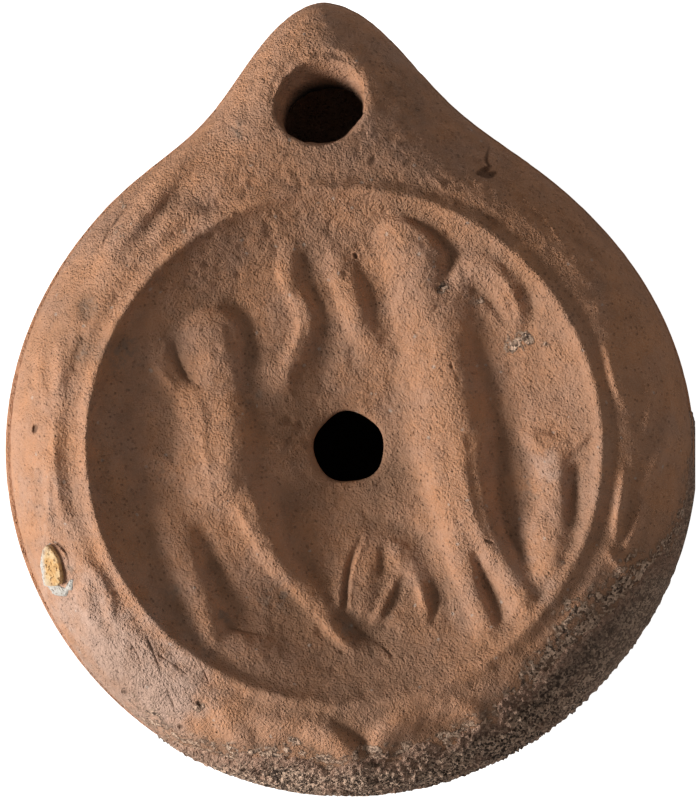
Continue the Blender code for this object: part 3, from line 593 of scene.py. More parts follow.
SHOULDER_HOLLOWS = {
    "upper left valley": (1.3, [
        (-28.4, 23.8, 0.8, 0.8, 0.2), (-25.4, 27, 0.9, 0.9, 0.35), (-22.6, 30.2, 1, 1, 0.45),
        (-20.4, 31.4, 1.1, 1.1, 0.5), (-18.4, 30.6, 1, 1, 0.6),
    ]),
    "dark dimple": (1.1, [(-19.4, 30.8, 0.7, 0.7, 0.3), (-18, 30.4, 0.8, 0.8, 0.5)]),
    "left dimple 1": (1.3, [(-32.8, 18.4, 1.3, 1.3, 0.65), (-33, 16.6, 1.1, 1.1, 0.52)]),
    "left dimple 2": (1.3, [
        (-33.2, 13.6, 0.9, 0.7, 0.78), (-34.2, 10.6, 0.8, 0.7, 0.65), (-35, 6.6, 0.7, 0.6, 0.39),
        (-35.3, 0.6, 0.6, 0.5, 0.45), (-35, -4.6, 0.6, 0.5, 0.45), (-34.2, -9, 0.6, 0.5, 0.26),
    ]),
    "bottom notch": (1.2, [
        (-9, -37.6, 0.7, 0.7, 0.3), (-7.4, -36.8, 0.8, 0.8, 0.6), (-5.8, -36, 0.6, 0.6, 0.3),
    ]),
    "bottom left dip": (1.4, [(-12, -35.4, 0.9, 0.9, 0.3), (-11.4, -37.2, 1, 1, 0.4)]),
    "bottom slit": (1.2, [
        (-1.8, -34.6, 0.9, 0.9, 0.2), (0.4, -35.8, 0.8, 0.8, 0.5), (1.9, -37.2, 0.6, 0.6, 0.7),
        (2.7, -38.6, 0.5, 0.5, 0.5), (3.1, -39.8, 0.4, 0.4, 0.3),
    ]),
    "bottom dip 2": (1.4, [
        (9.4, -35.4, 1.6, 1.6, 0.4), (11.8, -35.2, 1.8, 1.8, 0.6), (14.2, -34.8, 1.5, 1.5, 0.4),
    ]),
    "left pit": (1.1, [(-39.2, 2.5, 0.6, 0.6, 0.4), (-39.5, 2, 0.6, 0.6, 0.3)]),
}
CRACKS = {
    "upper left crack": (0.8, [
        (-28.3, 29.6, 0.16, 0.14, 0.2), (-29.2, 28.4, 0.22, 0.16, 0.3), (-30.1, 27.2, 0.12, 0.12, 0.15),
        (-30.6, 26.2, 0.16, 0.14, 0.25), (-30.9, 24.8, 0.1, 0.1, 0.1),
    ]),
    "right shoulder crack": (0.8, [
        (17.6, 38.2, 0.12, 0.12, 0.12), (17.5, 37.2, 0.22, 0.16, 0.25), (17.2, 36.1, 0.3, 0.2, 0.35),
        (17.5, 35.2, 0.22, 0.22, 0.3), (17, 34.6, 0.5, 0.4, 0.6), (16.2, 34.3, 0.4, 0.35, 0.4),
    ]),
    "right shoulder tear": (0.8, [
        (16.8, 34.2, 0.5, 0.5, 0.5), (17.8, 34.1, 0.5, 0.4, 0.5), (18.3, 34.4, 0.3, 0.25, 0.3),
    ]),
    "right shoulder line": (0.7, [
        (18.9, 37.4, 0.1, 0.1, 0.08), (19.8, 36.2, 0.14, 0.12, 0.14), (21.2, 35.4, 0.1, 0.1, 0.06),
    ]),
    "lower left crack": (0.7, [
        (-25.3, -23.7, 0.14, 0.14, 0.15), (-24.9, -24.6, 0.2, 0.2, 0.25), (-24.4, -25.8, 0.14, 0.14, 0.15),
        (-23.9, -27, 0.16, 0.16, 0.2), (-23.4, -28.6, 0.12, 0.12, 0.1),
    ]),
    "lower left crack end": (0.7, [
        (-22.9, -30, 0.12, 0.12, 0.1), (-22.4, -31.2, 0.14, 0.14, 0.16), (-21.6, -33.4, 0.12, 0.12, 0.1),
    ]),
    "lower left branch": (0.7, [
        (-24.8, -25, 0.12, 0.12, 0.12), (-23.4, -26.2, 0.14, 0.14, 0.18), (-22.2, -26.9, 0.12, 0.12, 0.12),
        (-20.2, -28.4, 0.1, 0.1, 0.08),
    ]),
    "lower left second": (0.7, [
        (-27.6, -24, 0.1, 0.1, 0.08), (-26.6, -25.6, 0.12, 0.12, 0.14), (-26, -27, 0.1, 0.1, 0.08),
    ]),
    "lower crack": (0.7, [
        (-18.6, -27, 0.12, 0.12, 0.12), (-18, -28.2, 0.14, 0.14, 0.18), (-17.5, -29.5, 0.1, 0.1, 0.1),
    ]),
    "disc crack": (0.7, [
        (-14.6, -22.8, 0.14, 0.14, 0.12), (-13, -23.1, 0.15, 0.15, 0.16), (-11, -23.4, 0.1, 0.1, 0.08),
    ]),
    "scratch": (0.7, [(4.2, -25, 0.16, 0.16, 0.16), (5.4, -26.1, 0.16, 0.16, 0.2)]),
    "scratch 2": (0.7, [(6.2, -25.9, 0.14, 0.14, 0.14), (6.9, -26.6, 0.14, 0.14, 0.16)]),
    "hip pit": (0.7, [(12.8, 10.3, 0.2, 0.2, 0.25), (12.9, 10, 0.2, 0.2, 0.25)]),
    "thigh pit": (0.7, [(17.2, -11.6, 0.3, 0.16, 0.25), (17.9, -11.9, 0.2, 0.16, 0.25)]),
    "pit 1": (0.8, [(-18.8, -32, 0.35, 0.35, 0.4), (-18.6, -32.2, 0.35, 0.35, 0.4)]),
    "pit 2": (0.8, [(-21.2, -35, 0.3, 0.3, 0.35), (-21, -35.1, 0.3, 0.3, 0.35)]),
    "pit 3": (0.8, [(-28.3, -30.7, 0.3, 0.3, 0.35), (-28.1, -30.8, 0.3, 0.3, 0.35)]),
    "pit 4": (0.8, [(-39.3, 2.5, 0.4, 0.4, 0.45), (-39.4, 2.1, 0.35, 0.35, 0.4)]),
    "pit 5": (0.8, [(0.8, 24.1, 0.3, 0.3, 0.35), (0.9, 23.9, 0.3, 0.3, 0.35)]),
    "above the chip": (0.7, [
        (-37, -11.8, 0.14, 0.14, 0.15), (-36.3, -12.2, 0.2, 0.2, 0.3), (-35.6, -12.9, 0.18, 0.18, 0.3),
        (-35.2, -13.8, 0.14, 0.14, 0.2), (-35, -14.8, 0.12, 0.12, 0.1),
    ]),
}


def smooth_step(low, high, value):
    """Rise smoothly from 0 at low to 1 at high."""
    t = np.clip((value - low) / (high - low), 0.0, 1.0)
    return t * t * (3.0 - 2.0 * t)


def hump(value, middle, spread):
    """Return a soft bell that is 1 at the middle."""
    return np.exp(-(((value - middle) / spread) ** 2))


def wrapped(degrees):
    """Bring an angle into the range from -180 to 180."""
    return (degrees + 180.0) % 360.0 - 180.0


def polar(x, y):
    """Return the distance from the filling hole and the azimuth in degrees, clockwise from +Y."""
    return np.hypot(x, y), np.degrees(np.arctan2(x, y))


def plan(radius, azimuth):
    """Return x and y at a distance and an azimuth."""
    angle = np.radians(azimuth)
    return radius * np.sin(angle), radius * np.cos(angle)


def from_disc(x, y):
    """Return the distance from the picture disc's own middle, a little off the filling hole."""
    return np.hypot(x - DISC_CENTRE[0], y - DISC_CENTRE[1])


def smooth_path(points, steps=5):
    """Return a Catmull-Rom curve through the points."""
    p = np.array(points, float)
    if len(p) == 2:
        t = np.linspace(0.0, 1.0, steps + 1)[:, None]
        return p[0] * (1.0 - t) + p[1] * t
    p = np.vstack([2 * p[0] - p[1], p, 2 * p[-1] - p[-2]])
    path = []
    for a, b, c, d in zip(p[:-3], p[1:-2], p[2:-1], p[3:]):
        for t in np.linspace(0.0, 1.0, steps, endpoint=False):
            path.append(0.5 * (2 * b + (c - a) * t + (2 * a - 5 * b + 4 * c - d) * t ** 2
                               + (3 * b - a - 3 * c + d) * t ** 3))
    path.append(p[-2])
    return np.array(path)


def stroke(x, y, rounding, points):
    """Return the height of one soft stroke at each (x, y)."""
    path = smooth_path(points)
    height = np.zeros(x.shape)
    reach = path[:, 2:4].max()
    near = ((x > path[:, 0].min() - reach) & (x < path[:, 0].max() + reach)
            & (y > path[:, 1].min() - reach) & (y < path[:, 1].max() + reach))
    x = x[near]
    y = y[near]
    best = np.zeros(x.shape)
    for start, end in zip(path[:-1], path[1:]):
        run = end[:2] - start[:2]
        length = max(float(np.hypot(*run)), 1e-6)
        t = np.clip(((x - start[0]) * run[0] + (y - start[1]) * run[1]) / length ** 2, 0.0, 1.0)
        across = x - start[0] - t * run[0]
        along = y - start[1] - t * run[1]
        distance = np.hypot(across, along)
        upward = run / length * (1.0 if run[1] >= 0 else -1.0)
        side = (upward[0] * along - upward[1] * across) / np.maximum(distance, 1e-6)
        left = start[2] + (end[2] - start[2]) * t
        right = start[3] + (end[3] - start[3]) * t
        width = np.maximum(0.5 * (left + right) + 0.5 * (left - right) * side, 0.05)
        crest = start[4] + (end[4] - start[4]) * t
        best = np.maximum(best, crest * np.clip(1.0 - (distance / width) ** 2, 0.0, 1.0) ** rounding)
    height[near] = best
    return height


def melted(x, y, strokes, blend):
    """Return the height of a group of strokes that melt into each other."""
    height = np.zeros(x.shape)
    for rounding, points in strokes.values():
        other = stroke(x, y, rounding, points)
        near = np.clip(1.0 - np.abs(height - other) / blend, 0.0, 1.0)
        both = np.clip(2.0 * np.minimum(height, other) / blend, 0.0, 1.0)
        height = np.maximum(height, other) + 0.25 * blend * near ** 2 * both
    return height


def softened(sheet, spread):
    """Blur a sheet of heights by a spread in millimetres."""
    reach = int(math.ceil(3.0 * spread / SHEET_STEP))
    weights = np.exp(-0.5 * (np.arange(-reach, reach + 1) * SHEET_STEP / spread) ** 2)
    for axis in (0, 1):
        room = [(reach, reach) if a == axis else (0, 0) for a in (0, 1)]
        padded = np.pad(sheet, room, mode="edge")
        size = sheet.shape[axis]
        sheet = sum(w * np.take(padded, range(i, i + size), axis=axis) for i, w in enumerate(weights))
        sheet = sheet / weights.sum()
    return sheet


def worn(sheet, wear):
    """Return a sheet worn soft, as shares of it blurred by different spreads."""
    return sum(share * softened(sheet, spread) for share, spread in wear)


def on_sheet(sheet, x, y):
    """Read a sheet between its points."""
    u = np.clip((x - SHEET_LOW[0]) / SHEET_STEP, 0.0, sheet.shape[1] - 1.001)
    v = np.clip((y - SHEET_LOW[1]) / SHEET_STEP, 0.0, sheet.shape[0] - 1.001)
    i = u.astype(int)
    j = v.astype(int)
    u = u - i
    v = v - j
    low = sheet[j, i] * (1 - u) + sheet[j, i + 1] * u
    high = sheet[j + 1, i] * (1 - u) + sheet[j + 1, i + 1] * u
    return low * (1 - v) + high * v


def hashed(cell, seed):
    """Return a number from 0 to 1 for each whole-numbered cell."""
    n = cell[0] * 374761393 + cell[1] * 668265263 + cell[2] * 1442695041 + seed * 1274126177
    n = (n ^ (n >> 13)) * 1103515245
    n = (n ^ (n >> 16)) * 1274126177
    n = n ^ (n >> 15)
    return (n & 0xFFFFFF) / float(0xFFFFFF)


def lumps(points, size, seed):
    """Return soft random lumps from -1 to 1, about a size in millimetres across."""
    p = points / size
    cell = np.floor(p).astype(np.int64)
    f = p - cell
    f = f * f * (3.0 - 2.0 * f)
    total = np.zeros(len(points))
    for corner in range(8):
        step = [corner & 1, corner >> 1 & 1, corner >> 2]
        share = np.ones(len(points))
        for k in range(3):
            share = share * (f[:, k] if step[k] else 1.0 - f[:, k])
        total += share * hashed([cell[:, k] + step[k] for k in range(3)], seed)
    return 2.0 * total - 1.0


def grains(points, size, share, seed):
    """Return scattered round grains in a share of the cells, 1 at the middle of each and 0 beyond it."""
    p = points / size
    cell = np.floor(p).astype(np.int64)
    best = np.zeros(len(points))
    for dx in (-1, 0, 1):
        for dy in (-1, 0, 1):
            for dz in (-1, 0, 1):
                c = [cell[:, 0] + dx, cell[:, 1] + dy, cell[:, 2] + dz]
                there = hashed(c, seed) < share
                away = sum((c[k] + 0.2 + 0.6 * hashed(c, seed + 1 + k) - p[:, k]) ** 2 for k in range(3))
                radius = 0.3 + 0.4 * hashed(c, seed + 5)
                best = np.maximum(best, np.where(there, np.clip(1.0 - away / radius ** 2, 0.0, 1.0), 0.0))
    return best


def streaked(points, stretch):
    """Turn and squeeze points so that lumps read from them run along the drag of the mould's slip."""
    turned = points.copy()
    turned[:, 0] = (points[:, 0] + points[:, 1]) * 0.7071
    turned[:, 1] = (points[:, 1] - points[:, 0]) * 0.7071 / stretch
    return turned


def spots(points, places):
    """Return soft round patches, given as (x, y, radius, strength), seen from above."""
    total = np.zeros(len(points))
    for x, y, radius, strength in places:
        total += strength * np.exp(-((points[:, 0] - x) ** 2 + (points[:, 1] - y) ** 2) / radius ** 2)
    return total


def rim_radius(azimuth):
    """Return the outline's radius at an azimuth in degrees, clockwise from the nozzle's direction."""
    radius = BODY + np.zeros_like(azimuth)
    for middle, swell, width in RIM_SWELLS:
        radius = radius + swell * hump(wrapped(azimuth - middle), 0.0, width)
    across = np.abs(wrapped(azimuth - NOZZLE_AZIMUTH)) / NOZZLE_SPREAD
    radius = radius + NOZZLE_REACH * np.exp(-(across ** NOZZLE_POWER))
    return radius - CRUST_SINK * crust_cover(azimuth)


def crust_cover(azimuth):
    """Return how far the gritty crust has hold of the rim, from 0 to 1."""
    return smooth_step(84.0, 112.0, azimuth % 360.0) * (1.0 - smooth_step(204.0, 216.0, azimuth % 360.0))


def seam_strip(azimuth):
    """Return how far the lower half of the mould's cast stands out past the upper half."""
    left = 0.45 * hump(wrapped(azimuth - 268.0), 0.0, 30.0)
    right = 0.2 * hump(wrapped(azimuth - 96.0), 0.0, 22.0)
    return 0.22 + left + right


def plain_top(x, y):
    """Return the top's height without its relief: dish, ridge, shoulder and the worn lip of the wick hole."""
    radius, azimuth = polar(x, y)
    edge = rim_radius(azimuth) - seam_strip(azimuth)
    away = from_disc(x, y)
    outer = smooth_step(SHOULDER_START, 40.0, radius)
    t = (away * (1.0 - outer) + radius * outer - SHOULDER_START) / (edge - SHOULDER_START)
    shoulder = SEAM + (SHOULDER_TOP - SEAM) * np.sqrt(1.0 - np.clip(t, 0.0, 1.0) ** SHOULDER_POWER)
    dish = DISC_FLOOR + DISC_RISE * (away / DISC_RISE_RADIUS) ** DISC_RISE_POWER
    share = np.clip(0.5 + 0.5 * (shoulder - dish) / SHOULDER_MELT, 0.0, 1.0)
    height = shoulder * (1.0 - share) + dish * share - SHOULDER_MELT * share * (1.0 - share)
    left = 1.0 - 0.55 * hump(wrapped(azimuth - 180.0), 0.0, 50.0)
    ridge = 0.7 + 0.4 * hump(wrapped(azimuth - 250.0), 0.0, 60.0)
    height += left * ridge * hump(away, RIDGE_RADIUS, RIDGE_SPREAD)
    height -= left * 0.2 * hump(away, RIDGE_RADIUS + RIDGE_GROOVE, RIDGE_SPREAD)
    lip = np.hypot(x - WICK_HOLE[0], y - WICK_HOLE[1]) - WICK_RADIUS
    return height - WICK_LIP_DROP * (1.0 - smooth_step(-0.1, WICK_LIP, lip))


def relief_sheet():
    """Return the worn relief on a regular sheet."""
    columns = int((SHEET_HIGH[0] - SHEET_LOW[0]) / SHEET_STEP) + 1
    rows = int((SHEET_HIGH[1] - SHEET_LOW[1]) / SHEET_STEP) + 1
    x, y = np.meshgrid(SHEET_LOW[0] + SHEET_STEP * np.arange(columns),
                       SHEET_LOW[1] + SHEET_STEP * np.arange(rows))
    picture = -melted(x, y, DISC_HOLLOWS, HOLLOW_BLEND) - melted(x, y, DISC_LOW_GROUND, HOLLOW_BLEND)
    for strokes in (STANDING_FIGURE, SEATED_FIGURE, ALTAR, SHIELD, DISC_GROUND):
        picture += melted(x, y, strokes, FIGURE_BLEND)
    details = melted(x, y, DETAIL_RIDGES, DETAIL_BLEND) - melted(x, y, DETAIL_GROOVES, DETAIL_BLEND)
    picture = worn(picture, PICTURE_WEAR) + softened(details, DETAIL_WEAR)
    picture *= 1.0 - smooth_step(*PICTURE_EDGE, from_disc(x, y))
    border = melted(x, y, SHOULDER_ORNAMENT, BORDER_BLEND) - melted(x, y, SHOULDER_HOLLOWS, BORDER_BLEND)
    return picture + worn(border, BORDER_WEAR)


def rise(t):
    """Return the swelling curve of the lower side, from level at 0 to upright at 1."""
    return 1.0 - np.sqrt(np.clip(1.0 - t ** SIDE_POWER, 0.0, 1.0))


def crowded(steps, power=1.5):
    """Return steps from just above 0 to 1 that crowd together towards 1."""
    return 1.0 - (1.0 - np.linspace(0.0, 1.0, steps + 1)[1:]) ** power


def side_height(t):
    """Return the height of the lower side, from the base at 0 to the seam at 1."""
    return BASE_ROUND + (LOWER_SEAM - BASE_ROUND) * rise(t)


def section():
    """Return the rows of the lamp's section as (kind, radius, height), from the middle of the chamber's floor
    round by the filling hole, the top and the side to the middle of the base."""
    wall = SIZES["wall"]
    flat = BASE - wall
    reach = BODY - wall
    rows = [("chamber", r, FLOOR_INSIDE) for r in (0.0, 5.0, 10.0, flat)]
    for t in crowded(16):
        rows.append(("chamber", flat + (reach - flat) * t, FLOOR_INSIDE + (SEAM - FLOOR_INSIDE) * rise(t)))
    for t in crowded(12)[-2::-1]:
        fall = (SHOULDER_TOP - wall - SEAM) * (1.0 - math.sqrt(1.0 - t ** CEILING_POWER))
        height = SHOULDER_TOP - wall - fall
        rows.append(("ceiling", CEILING_START + (reach - CEILING_START) * t, height))
    rows += [("ceiling", r, DISC_UNDERSIDE + z) for r, z in CEILING]
    rows += [("neck", HOLE + r, DISC_UNDERSIDE + z) for r, z in NECK]
    rows += [("top", r, DISC_FLOOR) for r in np.linspace(HOLE + 0.62, SHOULDER_START, DISC_ROWS)]
    edge = BODY - SEAM_REACH
    for t in crowded(SHOULDER_ROWS, 1.3):
        rows.append(("top", SHOULDER_START + (edge - SHOULDER_START) * t, DISC_FLOOR - 7.3 * t))
    rows += [("seam", edge + SEAM_REACH * share, z) for share, z in SEAM_STEP]
    start = BASE + BASE_ROUND
    for t in crowded(34)[-2::-1]:
        rows.append(("side", start + (BODY - start) * t, side_height(t)))
    rows += [("base", BASE + r, z) for r, z in BASE_EDGE]
    rows += [("base", r, z) for r, z in BASE_RING]
    return rows


def stretched(radius, start, end, new_end):
    """Return a radius moved as its range from start to end is drawn out to a new end."""
    return start + (radius - start) / (end - start) * (new_end - start)


def skin(x, y, relief):
    """Return the height of the lamp's top with its relief."""
    return plain_top(x, y) + on_sheet(relief, x, y)


def skin_to_edge(x, y, radius, edge, relief):
    """Return the height of the lamp's top with its relief, which fades out just inside the edge."""
    return plain_top(x, y) + on_sheet(relief, x, y) * (1.0 - smooth_step(-0.6, -0.1, radius - edge))


def placed(kind, radius, height, azimuth, relief):
    """Return where points of one row stand on the lamp, at each azimuth."""
    rim = rim_radius(azimuth)
    edge = rim - seam_strip(azimuth)
    wall = SIZES["wall"]
    if kind == "chamber" and radius > BASE - wall:
        radius = stretched(radius, BASE - wall, BODY - wall, rim - wall)
    elif kind == "ceiling" and radius > CEILING_START:
        radius = stretched(radius, CEILING_START, BODY - wall, rim - wall)
    elif kind == "neck":
        uneven = 0.1 * np.cos(np.radians(azimuth * 5.0 + 40.0)) + 0.08 * np.cos(np.radians(azimuth * 3.0))
        radius = radius + uneven
    elif kind == "top" and radius > SHOULDER_START:
        radius = stretched(radius, SHOULDER_START, BODY - SEAM_REACH, edge)
    elif kind == "seam":
        radius = edge + (radius - BODY + SEAM_REACH) / SEAM_REACH * (rim - edge)
    elif kind == "side":
        radius = stretched(radius, BASE + BASE_ROUND, BODY, rim)
    x, y = plan(radius, azimuth)
    z = np.full_like(azimuth, height)
    if kind == "ceiling":
        near = np.exp(-((x - WICK_HOLE[0]) ** 2 + (y - WICK_HOLE[1]) ** 2) / 50.0)
        z -= WICK_WALL * near * smooth_step(0.0, 5.0, rim - wall - radius)
    if kind == "neck":
        z += on_sheet(relief, x, y) * (height - DISC_UNDERSIDE) / NECK_HEIGHT
    if kind == "top":
        z = skin_to_edge(x, y, radius, edge, relief)
        z -= 0.12 * (1.0 - smooth_step(HOLE + 0.5, HOLE + 0.9, radius))
    return np.column_stack([x, y, z])


def deselect_all():
    """Leave nothing selected."""
    if bpy.context.object and bpy.context.object.mode != "OBJECT":
        bpy.ops.object.mode_set(mode="OBJECT")
    bpy.ops.object.select_all(action="DESELECT")


def only(obj):
    """Select one object and make it active."""
    deselect_all()
    obj.select_set(True)
    bpy.context.view_layer.objects.active = obj


def edit_all(obj, operator, **settings):
    """Run one edit-mode operator on the whole of an object."""
    only(obj)
    bpy.ops.object.mode_set(mode="EDIT")
    bpy.ops.mesh.select_all(action="SELECT")
    operator(**settings)
    bpy.ops.object.mode_set(mode="OBJECT")


def named(name):
    """Name the active object and its mesh, and return it."""
    obj = bpy.context.object
    obj.name = name
    obj.data.name = name
    return obj


def read_points(mesh, what="co"):
    """Return the mesh's points in millimetres, or its normals."""
    values = np.empty(len(mesh.vertices) * 3)
    mesh.vertices.foreach_get(what, values)
    return values.reshape(-1, 3) / (MM if what == "co" else 1.0)


def move_points(mesh, points):
    """Put the mesh's points where they are given, in millimetres."""
    mesh.vertices.foreach_set("co", (points * MM).ravel())
    mesh.update()


def mark(mesh, name, values):
    """Store one value for each point as an attribute."""
    attribute = mesh.attributes.new(name, "FLOAT", "POINT")
    attribute.data.foreach_set("value", np.clip(values, 0.0, 1.0).astype(np.float32))


def apply_modifier(obj, kind, **settings):
    """Add a modifier with these settings and apply it."""
    only(obj)
    bpy.ops.object.modifier_add(type=kind)
    modifier = obj.modifiers[-1]
    for key, value in settings.items():
        setattr(modifier, key, value)
    bpy.ops.object.modifier_apply(modifier=modifier.name)


def spun(name, profile, steps):
    """Extrude a profile of (radius, height) points in millimetres and spin it into a closed form. One sector
    is spun finely and then repeated, which is quicker than one fine turn."""
    deselect_all()
    bpy.ops.mesh.primitive_plane_add(size=MM, location=(0.0, 0.0, 0.0))
    obj = named(name)
    bpy.ops.object.mode_set(mode="EDIT")
    bpy.ops.mesh.select_all(action="SELECT")
    bpy.ops.mesh.merge(type="CENTER")
    bpy.ops.transform.translate(value=(profile[0][0] * MM, 0.0, profile[0][1] * MM))
    for (r0, z0), (r1, z1) in zip(profile[:-1], profile[1:]):
        bpy.ops.mesh.extrude_region_move(
            TRANSFORM_OT_translate={"value": ((r1 - r0) * MM, 0.0, (z1 - z0) * MM)})
    bpy.ops.mesh.select_all(action="SELECT")
    sector = math.tau / TURN_SECTORS
    spin = {"center": (0.0, 0.0, 0.0), "axis": (0.0, 0.0, 1.0)}
    bpy.ops.mesh.spin(steps=steps // TURN_SECTORS, angle=sector, **spin)
    bpy.ops.mesh.select_all(action="SELECT")
    bpy.ops.mesh.spin(steps=TURN_SECTORS - 1, angle=sector * (TURN_SECTORS - 1), dupli=True, **spin)
    bpy.ops.mesh.select_all(action="SELECT")
    bpy.ops.mesh.remove_doubles(threshold=0.002 * MM)
    bpy.ops.mesh.normals_make_consistent(inside=False)
    bpy.ops.object.mode_set(mode="OBJECT")
    return obj


def finish_piece(obj, material):
    """Give a finished piece its material and slot, and let it ride on the lamp's body."""
    obj.data.materials.clear()
    obj.data.materials.append(material)
    only(obj)
    bpy.ops.object.shade_smooth()
    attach(obj, "root")


def coarseness(x, y):
    """Return how coarse the clay's skin is, from 0 to 1: coarsest by the nozzle and low on the left."""
    low_left = np.exp(-((x + 26.0) ** 2 + (y + 28.0) ** 2) / 80.0)
    return 0.35 + 0.55 * smooth_step(12.0, 28.0, y) + 0.5 * low_left - 0.25 * smooth_step(20.0, 34.0, x)


def roughness_of(points, normals):
    """Return the height of the clay's fine bumps and pits, in millimetres, at points on its outside."""
    coarse = 0.45 + 0.6 * coarseness(points[:, 0], points[:, 1])
    drag = streaked(points, 1.6)
    height = 0.07 * lumps(drag, 0.9, 3) + 0.05 * lumps(points, 0.5, 9) + 0.06 * lumps(points, 2.3, 17)
    pits = grains(points, 1.3, 0.12, 21) + 0.8 * grains(points, 2.2, 0.08, 31)
    pits += 0.6 * grains(points, 0.8, 0.14, 25)
    crumbs = grains(points, 1.5, 0.1, 41) + 0.7 * grains(points, 0.9, 0.14, 43)
    flat = np.clip(np.abs(normals[:, 2]), 0.25, 1.0)
    return SIZES["roughness"] * coarse * (height - 0.22 * pits + 0.15 * crumbs) * flat


def wick_cutter():
    """Return the narrowing rod that leans in under the nozzle's top, rough like torn clay."""
    profile = [(0.0, WICK_CUTTER[0][0])]
    for (h0, r0), (h1, r1) in zip(WICK_CUTTER[:-1], WICK_CUTTER[1:]):
        profile += [(r0 + (r1 - r0) * t, h0 + (h1 - h0) * t) for t in np.linspace(0.0, 1.0, 7)[:-1]]
    profile += [(WICK_CUTTER[-1][1], WICK_CUTTER[-1][0]), (0.0, WICK_CUTTER[-1][0])]
    cutter = spun("wick_hole_cutter", profile, CUTTER_STEPS)
    points = read_points(cutter.data)
    away = np.hypot(points[:, 0], points[:, 1])
    bump = 0.2 * lumps(points, 3.2, 51) + 0.12 * lumps(points, 1.1, 52) + 0.05 * lumps(points, 0.5, 53)
    points[:, :2] *= (1.0 + bump / np.maximum(away, 3.0))[:, None]
    below = np.maximum(-points[:, 2], 0.0)
    points[:, 0] += WICK_LEAN[0] * below
    points[:, 1] = points[:, 1] * 1.02 + WICK_LEAN[1] * below
    move_points(cutter.data, points + np.array(WICK_HOLE))
    return cutter


def shape_lamp(obj, relief):
    """Draw the turned form out to the lamp's plan and raise its relief. Return which points face outwards."""
    points = read_points(obj.data)
    radius, azimuth = polar(points[:, 0], points[:, 1])
    best = np.full(len(points), 1e9)
    row_of = np.zeros(len(points), int)
    rows = section()
    for i, (kind, r, z) in enumerate(rows):
        away = (radius - r) ** 2 + (points[:, 2] - z) ** 2
        near = away < best
        best[near] = away[near]
        row_of[near] = i
    outside = np.zeros(len(points), bool)
    for i, (kind, r, z) in enumerate(rows):
        here = row_of == i
        points[here] = placed(kind, r, z, azimuth[here], relief)
        outside[here] = kind in ("top", "seam", "side", "base")
    move_points(obj.data, points)
    return outside


def carve_cracks(obj):
    """Cut the clay finer along its cracks and pits, and open them."""
    points = read_points(obj.data)
    wide = {
        name: (0.5, [(x, y, left + CRACK_ROOM, right + CRACK_ROOM, 1.0) for x, y, left, right, z in line])
        for name, (rounding, line) in CRACKS.items()
    }
    near = melted(points[:, 0], points[:, 1], wide, 0.01) > 0.05
    near &= points[:, 2] > SEAM - 3.0
    only(obj)
    bpy.ops.object.mode_set(mode="EDIT")
    bpy.ops.mesh.select_all(action="DESELECT")
    bpy.ops.mesh.select_mode(type="FACE")
    bpy.ops.object.mode_set(mode="OBJECT")
    corners = np.empty(len(obj.data.loops), int)
    obj.data.loops.foreach_get("vertex_index", corners)
    starts = np.empty(len(obj.data.polygons), int)
    obj.data.polygons.foreach_get("loop_start", starts)
    obj.data.polygons.foreach_set("select", np.add.reduceat(near[corners].astype(int), starts) > 0)
    bpy.ops.object.mode_set(mode="EDIT")
    bpy.ops.mesh.subdivide(number_cuts=CRACK_CUTS)
    bpy.ops.object.mode_set(mode="OBJECT")
    points = read_points(obj.data)
    depth = melted(points[:, 0], points[:, 1], CRACKS, CRACK_BLEND) * (points[:, 2] > SEAM - 3.0)
    depth[read_points(obj.data, "normal")[:, 2] < 0.2] = 0.0
    points[:, 2] -= depth
    move_points(obj.data, points)
    return depth


def build_lamp():
    """Model the whole lamp: turned, shaped, roughened, thinned, pierced and cracked."""
    relief = relief_sheet()
    lamp = spun("clay_lamp", [(r, z) for kind, r, z in section()], TURN_STEPS)
    outside = shape_lamp(lamp, relief)
    points = read_points(lamp.data)
    normals = read_points(lamp.data, "normal")
    bumps = np.zeros(len(points))
    bumps[outside] = roughness_of(points[outside], normals[outside])
    points += normals * bumps[:, None]
    points[:, 2] = np.maximum(points[:, 2], 0.02)
    move_points(lamp.data, points)
    share = TRIANGLES_KEPT / (2.0 * len(lamp.data.polygons))
    apply_modifier(lamp, "DECIMATE", ratio=share, use_collapse_triangulate=True)
    cutter = wick_cutter()
    apply_modifier(lamp, "BOOLEAN", operation="DIFFERENCE", solver="EXACT", object=cutter)
    bpy.data.objects.remove(cutter, do_unlink=True)
    depth = carve_cracks(lamp)
    edit_all(lamp, bpy.ops.mesh.quads_convert_to_tris)
    mark_lamp(lamp.data, relief, depth)
    return lamp


def hollow_sheet(relief):
    """Return a sheet that is above 0 where the relief is lower than what lies round it."""
    return softened(relief, 1.5) - relief


def rusty_edge(azimuth, radius):
    """Return how near the clay is to the gritty crust's edge, from 0 to 1."""
    near = smooth_step(-2.6, 0.2, radius - crust_limit(azimuth))
    turned = azimuth % 360.0
    return near * smooth_step(80.0, 96.0, turned) * (1.0 - smooth_step(206.0, 222.0, turned))


